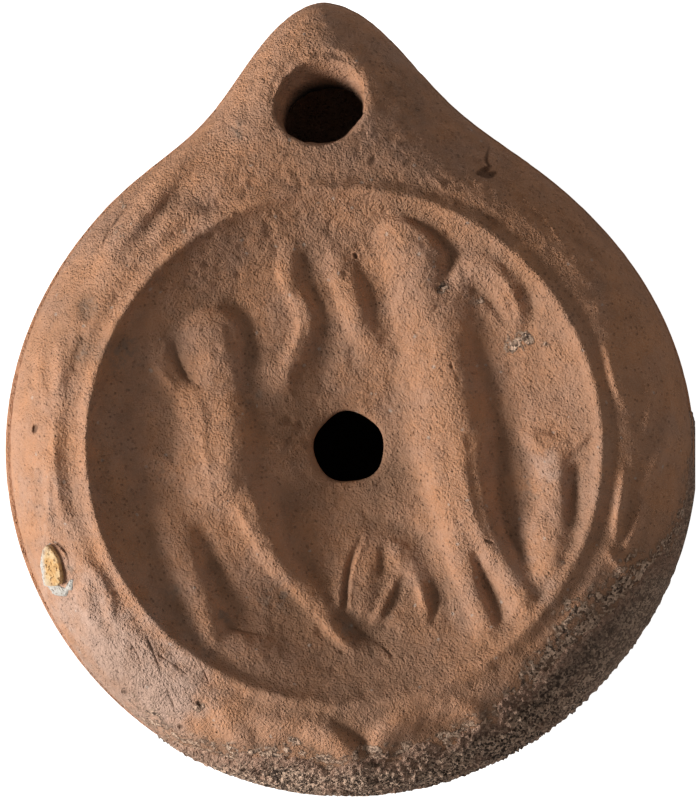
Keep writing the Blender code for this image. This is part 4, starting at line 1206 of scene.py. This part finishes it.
def mark_lamp(mesh, relief, cracks):
    """Store, for its material, where the lamp is soiled, where shade is painted in its hollows, cracks and
    holes, and where it is bleached, orange, crusted, greyed and rough.
    """
    points = read_points(mesh)
    normals = read_points(mesh, "normal")
    x, y, z = points.T
    radius, azimuth = polar(x, y)
    rim = rim_radius(azimuth)
    away = from_disc(x, y)
    on_top = (z > SEAM + 0.1) & (normals[:, 2] > 0.0)
    hollow = np.where(on_top, on_sheet(hollow_sheet(relief), x, y), 0.0)
    wall_foot = hump(away, 30.4, 1.8)
    groove = hump(away, RIDGE_RADIUS + RIDGE_GROOVE, RIDGE_SPREAD)
    level = 1.0 - smooth_step(0.1, 0.9, on_sheet(relief, x, y))
    ground = level * (1.0 - smooth_step(27.0, 30.0, away))
    rusty = rusty_edge(azimuth, radius)
    # The soil mask holds earth stains and painted shade: 0.9 of the hollow measure paints the relief's
    # hollows darker
    soil = 0.18 + 0.22 * lumps(points, 9.0, 61) + 0.1 * lumps(points, 3.0, 62) + 0.9 * hollow
    soil += spots(points, SOILED)
    # Painted shade at the foot of the dish wall and in the ridge groove; the level ground and the crust's
    # edge are darkened as stains
    soil += on_top * (0.25 * wall_foot + 0.2 * groove + 0.22 * ground + 0.5 * rusty)
    start = BASE + BASE_ROUND
    t = np.clip((radius - start) / (rim - start), 0.0, 1.0)
    under = z - np.where(radius > start, side_height(t), 0.0)
    # Soot and painted shade: clay lying deeper under the top is painted darker, fading to black more slowly
    # round the wick hole, where its wall shows
    wick = 1.0 - smooth_step(6.0, 8.0, np.hypot(x - WICK_HOLE[0], y - WICK_HOLE[1] + 1.5))
    deep = np.minimum(plain_top(x, y) - z, under)
    inside = smooth_step(2.4, 3.2 + 2.4 * wick, deep)
    mark(mesh, "soil", soil)
    mark(mesh, "orange", 0.3 + 0.3 * lumps(points, 7.0, 63) + spots(points, ORANGE) * on_top
         + 0.7 * hump(radius - rim, 0.0, 0.4) * hump(z, LOWER_SEAM, 0.6))
    mark(mesh, "bleached", spots(points, BLEACHED) + 0.15 * lumps(points, 5.0, 64))
    mark(mesh, "crusted", (spots(points, CRUSTED) + 0.75 * rusty) * on_top)
    # Painted shade in the cracks, darker where they are cut deeper
    mark(mesh, "dark", 0.6 * smooth_step(0.05, 0.3, cracks))
    # Soot, with painted shade inside the chamber and down the holes
    mark(mesh, "sooty", inside)
    mark(mesh, "greyed", spots(points, GREYED) * on_top * (0.8 + 0.4 * lumps(points, 1.6, 66)))
    mark(mesh, "rough", coarseness(x, y) + 0.25 * lumps(points, 4.0, 65))


def joined(tree, socket, value):
    """Set an input to a value, or join it to a socket."""
    if isinstance(value, bpy.types.NodeSocket):
        tree.links.new(value, socket)
    else:
        socket.default_value = value


def add_node(tree, kind, values=None, **settings):
    """Add a shader node with its settings, its inputs set to values or joined to sockets."""
    node = tree.nodes.new("ShaderNode" + kind)
    for key, value in settings.items():
        setattr(node, key, value)
    for key, value in (values or {}).items():
        joined(tree, node.inputs[key], value)
    return node


def sum_of(tree, kind, a, b=0.0, c=0.0):
    """Return the result of one sum on two or three numbers or sockets."""
    return add_node(tree, "Math", {0: a, 1: b, 2: c}, operation=kind).outputs[0]


def times(tree, a, b, plus=None):
    """Return a times b, plus a third number or socket if there is one."""
    if plus is None:
        return sum_of(tree, "MULTIPLY", a, b)
    return sum_of(tree, "MULTIPLY_ADD", a, b, plus)


def between(tree, value, low, high):
    """Return a smooth mask that rises from 0 at low to 1 at high."""
    values = {"Value": value, "From Min": low, "From Max": high}
    return add_node(tree, "MapRange", values, interpolation_type="SMOOTHSTEP").outputs["Result"]


def mixed(tree, mask, a, b):
    """Return a mix of two colours."""
    node = add_node(tree, "Mix", data_type="RGBA", clamp_factor=True)
    for number, value in ((0, mask), (6, a), (7, b)):
        joined(tree, node.inputs[number], value)
    return node.outputs[2]


def colour_of(name):
    """Return one of the user's colours."""
    return tuple(getattr(bpy.context.scene.oil_lamp_colours, name))


def tinted(tree, colour, name, mask, strength=1.0):
    """Return a colour covered with one of the user's colours where the mask is, at most this strongly."""
    return mixed(tree, times(tree, mask, strength), colour, colour_of(name))


def new_group(name, inputs, outputs):
    """Return a shader node group that reads a place and these numbers, with the sockets at its two ends."""
    group = bpy.data.node_groups.new(name, "ShaderNodeTree")
    group.interface.new_socket("Vector", in_out="INPUT", socket_type="NodeSocketVector")
    for label, default in inputs.items():
        socket = group.interface.new_socket(label, in_out="INPUT", socket_type="NodeSocketFloat")
        socket.default_value = default
    for label in outputs:
        group.interface.new_socket(label, in_out="OUTPUT", socket_type="NodeSocketFloat")
    return group, group.nodes.new("NodeGroupInput").outputs, group.nodes.new("NodeGroupOutput").inputs


def fine_grain_group():
    """Make the group of fine bumps which run one way, the pores between them and paler flecks."""
    inputs = {"Grain": 0.0005, "Stretch": 1.8}
    tree, given, out = new_group("fine_grain", inputs, ("Height", "Pores", "Flecks"))
    turned = add_node(tree, "VectorRotate", {"Vector": given["Vector"], "Angle": math.radians(-45.0)},
                      rotation_type="Z_AXIS").outputs[0]
    shorter = sum_of(tree, "DIVIDE", 1.0, given["Stretch"])
    squeeze = add_node(tree, "CombineXYZ", {"X": 1.0, "Y": shorter, "Z": 1.0})
    place = add_node(tree, "VectorMath", {0: turned, 1: squeeze.outputs[0]}, operation="MULTIPLY").outputs[0]
    often = sum_of(tree, "DIVIDE", 1.0, given["Grain"])

    def noise(finer, detail=1.0):
        scale = times(tree, often, finer)
        return add_node(tree, "TexNoise", {"Vector": place, "Scale": scale, "Detail": detail}).outputs["Fac"]

    bumps, fine, wide = noise(1.0, 1.5), noise(2.1), noise(0.16)
    cells = add_node(tree, "TexVoronoi", {"Vector": place, "Scale": times(tree, often, 0.6)}).outputs
    spot = sum_of(tree, "SUBTRACT", 1.0, between(tree, cells["Distance"], 0.12, 0.34))
    chance = add_node(tree, "SeparateColor", {"Color": cells["Color"]}).outputs[0]
    pores = times(tree, spot, sum_of(tree, "LESS_THAN", chance, 0.24))
    crumbs = times(tree, spot, sum_of(tree, "GREATER_THAN", chance, 0.7))
    patchy = times(tree, between(tree, wide, 0.35, 0.65), 0.45, 0.7)
    height = times(tree, times(tree, fine, 0.5, times(tree, bumps, 0.85)), patchy)
    height = times(tree, crumbs, 0.5, height)
    joined(tree, out["Height"], times(tree, pores, -0.55, height))
    joined(tree, out["Pores"], pores)
    joined(tree, out["Flecks"], between(tree, fine, 0.4, 0.66))


def specks_group():
    """Make the group of small scattered specks, in a share of the cells, each with a tone of its own."""
    tree, given, out = new_group("specks", {"Size": 0.0006, "Share": 0.2}, ("Mask", "Tone"))
    often = sum_of(tree, "DIVIDE", 1.0, given["Size"])
    bent = add_node(tree, "TexNoise", {"Vector": given["Vector"], "Scale": often, "Detail": 1.0})
    place = add_node(tree, "VectorMath", {0: bent.outputs["Color"], 1: (SPECK_BEND,) * 3, 2: given["Vector"]},
                     operation="MULTIPLY_ADD").outputs[0]
    cells = add_node(tree, "TexVoronoi", {"Vector": place, "Scale": often}).outputs
    tone = add_node(tree, "SeparateColor", {"Color": cells["Color"]}).outputs
    near = sum_of(tree, "SUBTRACT", 1.0, between(tree, cells["Distance"], 0.25, 0.5))
    joined(tree, out["Mask"], times(tree, near, sum_of(tree, "LESS_THAN", tone[0], given["Share"])))
    joined(tree, out["Tone"], tone[1])


def blotches_group():
    """Make the group of soft-edged blotches."""
    tree, given, out = new_group("blotches", {"Size": 0.006, "Start": 0.5, "Softness": 0.1}, ("Mask",))
    values = {"Vector": given["Vector"], "Scale": sum_of(tree, "DIVIDE", 1.0, given["Size"]),
              "Detail": 5.0, "Roughness": 0.6}
    noise = add_node(tree, "TexNoise", values).outputs["Fac"]
    high = sum_of(tree, "ADD", given["Start"], given["Softness"])
    joined(tree, out["Mask"], between(tree, noise, given["Start"], high))


def placed_group(tree, name, *values):
    """Place one of the shared groups on the object's own coordinates, and return its outputs."""
    node = tree.nodes.new("ShaderNodeGroup")
    node.node_tree = bpy.data.node_groups[name]
    joined(tree, node.inputs["Vector"], tree.nodes["Texture Coordinate"].outputs["Object"])
    for number, value in enumerate(values):
        node.inputs[1 + number].default_value = value
    return node.outputs


def new_material(name, roughness):
    """Return a material with its node tree, ready for the shared groups, and its shader's inputs."""
    if "fine_grain" not in bpy.data.node_groups:
        fine_grain_group()
        specks_group()
        blotches_group()
    material = bpy.data.materials.new(name)
    material.use_nodes = True
    tree = material.node_tree
    shader = tree.nodes["Principled BSDF"]
    shader.inputs["Metallic"].default_value = 0.0
    shader.inputs["Specular IOR Level"].default_value = 0.25
    shader.inputs["Roughness"].default_value = roughness
    add_node(tree, "TexCoord")
    return material, tree, shader.inputs


def attribute(tree, name):
    """Return the value stored on the piece's points under this name."""
    return add_node(tree, "Attribute", attribute_name=name).outputs["Fac"]


def bumped(tree, height, distance):
    """Return the normal that a height of this distance gives."""
    return add_node(tree, "Bump", {"Height": height, "Distance": distance, "Strength": 1.0}).outputs["Normal"]


def clay_material():
    """Return the lamp's fired clay, stained and bleached by the ground, with painted shade in its hollows,
    cracks and holes.
    """
    material, tree, shader = new_material("worn_fired_clay", 0.8)
    grain = placed_group(tree, "fine_grain", 0.0003, 1.15)
    broad = placed_group(tree, "blotches", 0.008, 0.36, 0.28)["Mask"]
    cloud = placed_group(tree, "blotches", 0.0032, 0.36, 0.28)["Mask"]
    small = placed_group(tree, "blotches", 0.0011, 0.4, 0.22)["Mask"]
    dark_specks = placed_group(tree, "specks", 0.0004, 0.014)["Mask"]
    lime_specks = placed_group(tree, "specks", 0.0006, 0.01)["Mask"]
    crust_tone = between(tree, placed_group(tree, "specks", 0.00032, 0.6)["Tone"], 0.1, 0.8)
    broken = times(tree, small, 0.9, 0.4)

    hue = times(tree, cloud, 0.32, times(tree, broad, 0.55))
    colour = tinted(tree, colour_of("orange_clay"), "dull_clay", times(tree, small, 0.1, hue))
    colour = tinted(tree, colour, "orange_clay", attribute(tree, "orange"), 0.6)
    colour = tinted(tree, colour, "pale_clay", grain["Flecks"], 0.45)
    bleached = times(tree, cloud, 0.3, attribute(tree, "bleached"))
    colour = tinted(tree, colour, "bleached_clay", between(tree, bleached, 0.25, 1.1))
    # Soil colour over the earth stains, and as painted shade over the relief's hollows, the dish wall's foot
    # and the ridge groove
    soil = times(tree, small, 0.1, attribute(tree, "soil"))
    colour = tinted(tree, colour, "soil", between(tree, soil, 0.15, 1.3), 0.8)
    greyed = between(tree, times(tree, attribute(tree, "greyed"), broken), 0.15, 0.8)
    colour = tinted(tree, colour, "dry_earth", greyed, 0.75)
    colour = tinted(tree, colour, "grit_dark", dark_specks, 0.25)
    colour = tinted(tree, colour, "lime", lime_specks, 0.35)
    stuck = tinted(tree, colour_of("grit_dark"), "grit_pale", crust_tone)
    stuck = mixed(tree, times(tree, cloud, 0.4), stuck, colour)
    crusted = between(tree, times(tree, attribute(tree, "crusted"), broken), 0.35, 0.75)
    colour = mixed(tree, crusted, colour, stuck)
    colour = tinted(tree, colour, "grit_dark", grain["Pores"], 0.2)
    # Painted shade in the cracks
    colour = tinted(tree, colour, "crack_shade_colour", attribute(tree, "dark"))
    # Soot and painted shade inside the chamber and down the holes
    joined(tree, shader["Base Color"], tinted(tree, colour, "soot", attribute(tree, "sooty")))
    joined(tree, shader["Roughness"], times(tree, small, 0.12, 0.8))

    height = times(tree, grain["Height"], times(tree, attribute(tree, "rough"), 0.8, 0.5))
    height = times(tree, times(tree, crusted, crust_tone), 0.8, height)
    joined(tree, shader["Normal"], bumped(tree, height, 0.00045))
    return material


def grit_material():
    """Return the grey crust of grit and lime, a speckle of pale and dark grains, with painted shade in its
    low places.
    """
    material, tree, shader = new_material("gritty_crust", 0.9)
    grain = placed_group(tree, "fine_grain", 0.00024, 1.0)
    coarse = placed_group(tree, "specks", 0.0005, 0.6)
    cloud = placed_group(tree, "blotches", 0.003, 0.45, 0.2)["Mask"]
    tone = between(tree, placed_group(tree, "specks", 0.0003, 0.9)["Tone"], 0.3, 0.65)

    speckled = tinted(tree, colour_of("grit_dark"), "grit_pale", tone)
    colour = tinted(tree, speckled, "dull_clay", cloud, 0.55)
    whole = tinted(tree, colour_of("grit_dark"), "grit_pale", coarse["Tone"])
    colour = mixed(tree, times(tree, coarse["Mask"], 0.8), colour, whole)
    earth = mixed(tree, times(tree, tone, 0.45), colour_of("dry_earth"), speckled)
    colour = mixed(tree, attribute(tree, "earthy"), colour, earth)
    # Painted shade in the crust's low places
    colour = tinted(tree, colour, "grit_dark", attribute(tree, "low"), 0.6)
    thin = times(tree, coarse["Mask"], -0.5, attribute(tree, "thin"))
    joined(tree, shader["Base Color"], tinted(tree, colour, "dull_clay", thin, 0.75))

    height = times(tree, coarse["Mask"], 0.8, times(tree, tone, 0.6, grain["Height"]))
    joined(tree, shader["Normal"], bumped(tree, height, 0.0004))
    return material


def lime_material():
    """Return the white lime that holds the stone chip, with painted shade where it lies low."""
    material, tree, shader = new_material("white_lime", 0.9)
    specks = placed_group(tree, "specks", 0.0004, 0.4)["Mask"]
    colour = tinted(tree, colour_of("lime"), "dry_earth", specks, 0.7)
    # Painted shade where the lime lies low
    joined(tree, shader["Base Color"], tinted(tree, colour, "grit_dark", attribute(tree, "low")))
    grain = placed_group(tree, "fine_grain", 0.0003, 1.0)
    joined(tree, shader["Normal"], bumped(tree, grain["Height"], 0.0003))
    return material


def chip_material():
    """Return the yellow stone of the chip."""
    material, tree, shader = new_material("yellow_stone", 0.75)
    grain = placed_group(tree, "fine_grain", 0.00035, 1.2)
    cloud = placed_group(tree, "blotches", 0.0011, 0.42, 0.15)["Mask"]
    pits = placed_group(tree, "specks", 0.00032, 0.35)["Mask"]
    colour = tinted(tree, colour_of("pale_stone"), "stone", cloud)
    colour = tinted(tree, colour, "rusty_stone", pits, 0.8)
    colour = tinted(tree, colour, "soil", grain["Pores"], 0.6)
    joined(tree, shader["Base Color"], tinted(tree, colour, "lime", attribute(tree, "limy")))
    joined(tree, shader["Normal"], bumped(tree, sum_of(tree, "SUBTRACT", grain["Height"], pits), 0.00015))
    return material


def grid_on_lamp(name, cells, place, thickness):
    """Lay a fine grid over the lamp and raise it by a field of heights. place gives the points of the lamp
    under the grid, and thickness how far the stuck matter stands off them. The grid's border is buried."""
    deselect_all()
    bpy.ops.mesh.primitive_grid_add(x_subdivisions=cells[0], y_subdivisions=cells[1], size=1.0,
                                    location=(0.0, 0.0, 0.0))
    obj = named(name)
    u, v = read_points(obj.data).T[:2] * MM + 0.5
    points = place(u, v)
    move_points(obj.data, points)
    normals = read_points(obj.data, "normal")
    if np.mean(normals[:, 2]) < 0.0:
        edit_all(obj, bpy.ops.mesh.flip_normals)
        normals = -normals
    border = (u < 0.001) | (u > 0.999) | (v < 0.001) | (v > 0.999)
    height = np.where(border, BURIED, thickness(points, u, v))
    move_points(obj.data, points + normals * height[:, None])
    return obj, height


def close_under(obj, depth):
    """Give a laid grid its underside, buried in the lamp's wall."""
    apply_modifier(obj, "SOLIDIFY", thickness=depth * MM, offset=-1.0)


def crust_limit(azimuth):
    """Return the radius at which the crust starts, at each azimuth."""
    return np.interp(azimuth % 360.0, *zip(*CRUST_EDGE))


def build_crust(relief):
    """Model the gritty crust along the lower and right rim."""
    low, high = CRUST_EDGE[0][0] - 2.0, CRUST_EDGE[-1][0] + 2.0

    def place(u, v):
        azimuth = low + (high - low) * u
        rim = rim_radius(azimuth)
        edge = rim - seam_strip(azimuth)
        over = np.clip(v / 0.5, 0.0, 1.0)
        radius = CRUST_START + (edge - 0.02 - CRUST_START) * (1.0 - (1.0 - over) ** 1.3)
        top = skin_to_edge(*plan(radius, azimuth), radius, edge, relief)
        t = 1.0 - 0.3 * np.clip(v / 0.5 - 1.0, 0.0, 1.0) ** 1.5
        side = BASE + BASE_ROUND + (rim - BASE - BASE_ROUND) * t
        below = v > 0.5
        x, y = plan(np.where(below, side, radius), azimuth)
        return np.column_stack([x, y, np.where(below, side_height(t), top)])

    def thickness(points, u, v):
        radius, azimuth = polar(points[:, 0], points[:, 1])
        azimuth = azimuth % 360.0
        ragged = 1.1 * lumps(points, 3.1, 71) + 0.7 * lumps(points, 1.2, 72)
        inward = radius - crust_limit(azimuth) + ragged
        inward = np.where(v > 0.5, 3.0 - (v - 0.5) * 9.0 + ragged, inward)
        edges[:] = inward
        ends = np.minimum(azimuth - low - 1.5, high - 1.5 - azimuth) * 0.7 + 0.5 * ragged
        cover = smooth_step(0.0, 1.3, np.minimum(inward, ends))
        grit = 0.5 * grains(points, 0.66, 0.5, 73) + 0.34 * grains(points, 0.46, 0.55, 74)
        grit += 0.10 * lumps(points, 1.9, 75) - 0.15 * grains(points, 0.9, 0.3, 76)
        fine = 0.4 + 0.6 * smooth_step(132.0, 148.0, azimuth)
        thick = CRUST_OVERHANG * smooth_step(0.25, 0.45, v)
        thick = thick * smooth_step(0.0, 12.0, np.minimum(azimuth - low, high - azimuth))
        height = -0.35 + cover * (0.38 + 0.08 * fine + grit * fine * SIZES["crust"] + thick)
        reach = np.minimum(CRUST_REACH, CRUST_REACH_X / np.maximum(np.abs(np.sin(np.radians(azimuth))), 0.1))
        room = np.maximum(reach - radius, 0.1)
        return np.minimum(height, np.minimum(room, CRUST_THICKEST + thick))

    edges = np.zeros((CRUST_GRID[0] + 1) * (CRUST_GRID[1] + 1))
    crust, height = grid_on_lamp("grit_crust", CRUST_GRID, place, thickness)
    azimuth = polar(*read_points(crust.data).T[:2])[1] % 360.0
    # Painted shade in the crust's low places between its grains, away from its edge
    mark(crust.data, "low", (1.0 - smooth_step(0.0, 0.3, height)) * smooth_step(0.8, 2.6, edges))
    mark(crust.data, "thin", 1.0 - smooth_step(0.6, 3.2, edges))
    mark(crust.data, "earthy", 0.75 * (1.0 - smooth_step(120.0, 150.0, azimuth)))
    close_under(crust, 0.45)
    return crust


def patch_place(relief, middle, width, length, turn):
    """Return a function that lays a flat rectangle of the top's surface round a middle."""
    def place(u, v):
        a = (u - 0.5) * width
        b = (v - 0.5) * length
        x = middle[0] + a * math.cos(turn) - b * math.sin(turn)
        y = middle[1] + a * math.sin(turn) + b * math.cos(turn)
        return np.column_stack([x, y, skin(x, y, relief)])
    return place


def build_lime(relief):
    """Model the lime round and under the stone chip."""
    def thickness(points, u, v):
        body = melted(points[:, 0], points[:, 1], LIME_PATCH, 0.1)
        rough = 0.16 * lumps(points, 0.8, 81) + 0.1 * lumps(points, 0.4, 82)
        rough += 0.12 * grains(points, 0.7, 0.4, 83)
        return -0.3 + smooth_step(0.0, 0.25, body + 0.12 * rough) * (0.35 + body + rough)

    lime, height = grid_on_lamp("lime_patch", LIME_GRID, patch_place(relief, *LIME_PLACE), thickness)
    # Painted shade where the lime lies low, at its thin edges beside the chip and the clay
    mark(lime.data, "low", 1.0 - smooth_step(-0.05, 0.12, height))
    close_under(lime, 0.4)
    return lime


def unit(vector):
    """Return a vector drawn to a length of 1."""
    return vector / np.linalg.norm(vector)


def build_chip(relief):
    """Model the leaf-shaped stone chip, a worn flake set on edge in the lime."""
    deselect_all()
    bpy.ops.mesh.primitive_cube_add(size=2.0 * MM, location=(0.0, 0.0, 0.0))
    chip = named("stone_chip")
    edit_all(chip, bpy.ops.mesh.subdivide, number_cuts=CHIP_CUTS)
    points = read_points(chip.data)
    half = np.maximum(np.abs(points[:, 0]), np.abs(points[:, 1]))
    angle = np.arctan2(points[:, 1], points[:, 0])
    leaf = np.interp(np.degrees(angle), *zip(*CHIP_OUTLINE), period=360.0)
    x = half * leaf * np.cos(angle)
    y = half * leaf * np.sin(angle)
    z = points[:, 2] * CHIP_HALF_THICKNESS
    crown = 0.06 * (1.0 - half ** 2)
    edge = 1.0 - 0.05 * np.clip(np.abs(points[:, 2]), 0.0, 1.0) ** 3
    pits = 0.12 * grains(np.column_stack([x, y, z]), 0.7, 0.25, 91)
    z = z + (crown + 0.05 * lumps(np.column_stack([x, y, z]), 0.9, 92) - pits) * (points[:, 2] > 0.0)
    middle, right, forward = patch_place(relief, CHIP_MIDDLE, 1.0, 1.0, 0.0)(
        np.array([0.5, 1.5, 0.5]), np.array([0.5, 0.5, 1.5]))
    level = unit(np.cross(right - middle, forward - middle))
    up = unit(level * (1.0 - CHIP_UPRIGHT) + np.array([0.0, 0.0, CHIP_UPRIGHT]))
    across = unit(np.cross(np.array([0.0, 1.0, 0.0]), up))
    local = np.column_stack([x * edge, y * edge, z])
    move_points(chip.data, middle + local @ np.vstack([across, np.cross(up, across), up]) + up * CHIP_LIFT)
    towards_left = smooth_step(70.0, 130.0, np.degrees(np.abs(angle)))
    mark(chip.data, "limy", 0.6 * smooth_step(0.55, 0.9, half) * towards_left)
    edit_all(chip, bpy.ops.mesh.normals_make_consistent, inside=False)
    return chip


def length_setting(name, text, default, low, high):
    """Return a length that a user can change."""
    return FloatProperty(name=name, description=text, default=default, min=low, max=high,
                         subtype="DISTANCE", unit="LENGTH", precision=5)


def share_setting(name, text, high):
    """Return a share that a user can change, usually 1."""
    return FloatProperty(name=name, description=text, default=1.0, min=0.0, max=high, subtype="FACTOR")


def colour_setting(name, text, default):
    """Return a colour that a user can change."""
    return FloatVectorProperty(name=name, description=text, default=default + (1.0,), size=4,
                               subtype="COLOR", min=0.0, max=1.0)


class OilLampSizes(bpy.types.PropertyGroup):
    """Sizes of the lamp and of what is stuck to it."""

    wall: length_setting("Wall", "Thickness of the clay wall", 0.0035, 0.002, 0.005)
    roughness: share_setting("Roughness", "Depth of the clay's fine bumps, against the usual", 3.0)
    crust: share_setting("Crust grit", "Height of the crust's grains, against the usual", 2.0)
    floor: length_setting("Floor", "Width of the pale floor", 8.0, 1.0, 20.0)


class OilLampColours(bpy.types.PropertyGroup):
    """Colours of the clay, the stains, the painted shade and the stuck matter."""

    orange_clay: colour_setting("Orange clay", "Clay where its skin has come off", (0.57, 0.268, 0.134))
    dull_clay: colour_setting("Dull clay", "Clay filmed with earth", (0.445, 0.26, 0.18))
    pale_clay: colour_setting("Pale clay", "Pale flecks in the clay", (0.57, 0.35, 0.235))
    bleached_clay: colour_setting("Bleached clay", "Clay filmed with lime", (0.55, 0.365, 0.28))
    # Soil colour: earth stains on the clay, painted shade in its hollows, and the dark of the chip's pores
    soil: colour_setting("Soil", "Earth held in the hollows", (0.215, 0.122, 0.072))
    # Crack colour: painted shade in the cracks
    crack_shade_colour: colour_setting("Cracks", "Dark of the cracks", (0.05, 0.03, 0.02))
    dry_earth: colour_setting("Dry earth", "Grey earth in the thin crust", (0.30, 0.205, 0.15))
    # Soot colour: soot, and painted shade inside the chamber and down the holes
    soot: colour_setting("Soot", "Smoke-blackened clay inside the chamber", (0.02, 0.014, 0.01))
    grit_dark: colour_setting("Dark grit", "Dark grains and pores", (0.07, 0.046, 0.034))
    grit_pale: colour_setting("Pale grit", "Pale grains", (0.78, 0.54, 0.39))
    lime: colour_setting("Lime", "White lime", (0.56, 0.53, 0.48))
    stone: colour_setting("Stone", "Yellow stone of the chip", (0.72, 0.42, 0.17))
    rusty_stone: colour_setting("Rusty stone", "Rusty pits of the chip", (0.50, 0.22, 0.07))
    pale_stone: colour_setting("Pale stone", "Paler stone of the chip", (0.80, 0.56, 0.30))


class OILLAMP_OT_lamp(bpy.types.Operator):
    """Build the hollow clay lamp in place of its plain solid."""

    bl_idname = "oil_lamp.build_lamp"
    bl_label = "Clay lamp"

    def execute(self, context):
        read_sizes(context)
        lamp = build_lamp()
        finish_piece(lamp, clay_material())
        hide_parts("lamp_body")
        return {"FINISHED"}


class OILLAMP_OT_crust(bpy.types.Operator):
    """Build the gritty crust along the lamp's lower and right rim."""

    bl_idname = "oil_lamp.build_crust"
    bl_label = "Gritty crust"

    def execute(self, context):
        read_sizes(context)
        finish_piece(build_crust(relief_sheet()), grit_material())
        return {"FINISHED"}


class OILLAMP_OT_chip(bpy.types.Operator):
    """Build the stone chip and the lime that holds it."""

    bl_idname = "oil_lamp.build_chip"
    bl_label = "Stone chip in lime"

    def execute(self, context):
        read_sizes(context)
        relief = relief_sheet()
        finish_piece(build_lime(relief), lime_material())
        finish_piece(build_chip(relief), chip_material())
        return {"FINISHED"}


class OILLAMP_OT_stage(bpy.types.Operator):
    """Build the pale floor, the lights and the camera."""

    bl_idname = "oil_lamp.build_stage"
    bl_label = "Stage"

    def execute(self, context):
        build_floor(context.scene.oil_lamp_sizes.floor)
        build_lights()
        build_camera()
        return {"FINISHED"}


class OILLAMP_PT_panel(bpy.types.Panel):
    """Lists the lamp's sizes, colours and pieces."""

    bl_label = "Oil lamp"
    bl_idname = "OILLAMP_PT_panel"
    bl_space_type = "VIEW_3D"
    bl_region_type = "UI"
    bl_category = "Oil lamp"

    def draw(self, context):
        layout = self.layout
        for settings in (context.scene.oil_lamp_sizes, context.scene.oil_lamp_colours):
            for name in settings.bl_rna.properties.keys():
                if name not in ("rna_type", "name"):
                    layout.prop(settings, name)
        for step in STEPS:
            layout.operator(step.bl_idname)


def read_sizes(context):
    """Read the user's sizes into millimetres."""
    sizes = context.scene.oil_lamp_sizes
    SIZES.update(wall=sizes.wall / MM, roughness=sizes.roughness, crust=sizes.crust)


def build_floor(width):
    """Lay the plain pale floor."""
    deselect_all()
    bpy.ops.mesh.primitive_plane_add(size=width, location=(0.0, 0.0, 0.0))
    floor = named("floor")
    material = bpy.data.materials.new("pale_floor")
    material.use_nodes = True
    tree = material.node_tree
    shader = tree.nodes["Principled BSDF"].inputs
    shader["Base Color"].default_value = (0.8, 0.8, 0.8, 1.0)
    shader["Roughness"].default_value = 0.9
    shader["Emission Color"].default_value = (1.0, 1.0, 1.0, 1.0)
    seen = add_node(tree, "LightPath").outputs["Is Camera Ray"]
    joined(tree, shader["Emission Strength"], times(tree, seen, FLOOR_GLOW))
    floor.data.materials.append(material)


def build_lights():
    """Set a low soft key light to the left, a weak light opposite it and an even light from all round, and
    point them at the origin."""
    world = bpy.data.worlds.new("soft_room")
    bpy.context.scene.world = world
    world.use_nodes = True
    tree = world.node_tree
    background = tree.nodes["Background"].inputs
    seen = add_node(tree, "LightPath").outputs["Is Camera Ray"]
    joined(tree, background["Color"], ROOM_COLOUR)
    joined(tree, background["Strength"], times(tree, seen, 1.0 - ROOM_STRENGTH, ROOM_STRENGTH))
    for name, azimuth, elevation, away, size, strength in LIGHTS:
        bpy.ops.object.light_add(type="AREA", location=(0.0, 0.0, 0.0))
        light = bpy.context.object
        light.name = name
        light.data.name = name
        x, y = plan(away * math.cos(math.radians(elevation)), azimuth)
        light.location = (x, y, away * math.sin(math.radians(elevation)))
        light.data.shape = "DISK"
        light.data.size = size
        light.data.energy = strength
        light.data.color = LIGHT_COLOUR
        light.visible_camera = False
        light.rotation_mode = "QUATERNION"
        light.rotation_quaternion = light.location.to_track_quat("Z", "Y")


def build_camera():
    """Set a long-lensed camera straight above the lamp, with the nozzle upwards in the frame."""
    bpy.ops.object.camera_add(location=(0.0, 0.0, 1.0), rotation=(0.0, 0.0, 0.0))
    camera = bpy.context.object
    camera.name = "camera"
    camera.data.name = "camera"
    camera.data.lens = LENS
    camera.data.sensor_width = SENSOR
    camera.location = [v * MM for v in (*FRAME_MIDDLE, SEAM + FRAME_HEIGHT * LENS / SENSOR)]
    camera.data.clip_end = 100.0
    bpy.context.scene.camera = camera
    bpy.context.scene.view_settings.view_transform = "Standard"


STEPS = (OILLAMP_OT_lamp, OILLAMP_OT_crust, OILLAMP_OT_chip, OILLAMP_OT_stage)
CLASSES = (OilLampSizes, OilLampColours) + STEPS + (OILLAMP_PT_panel,)


def register():
    """Add the classes, and the user's sizes and colours to the scene."""
    for cls in CLASSES:
        bpy.utils.register_class(cls)
    bpy.types.Scene.oil_lamp_sizes = PointerProperty(type=OilLampSizes)
    bpy.types.Scene.oil_lamp_colours = PointerProperty(type=OilLampColours)


def unregister():
    """Take them away again."""
    del bpy.types.Scene.oil_lamp_colours
    del bpy.types.Scene.oil_lamp_sizes
    for cls in reversed(CLASSES):
        bpy.utils.unregister_class(cls)


def main():
    """Build everything in order."""
    register()
    bpy.ops.oil_lamp.build_lamp()
    bpy.ops.oil_lamp.build_crust()
    bpy.ops.oil_lamp.build_chip()
    bpy.ops.oil_lamp.build_stage()


if __name__ == "__main__":
    main()
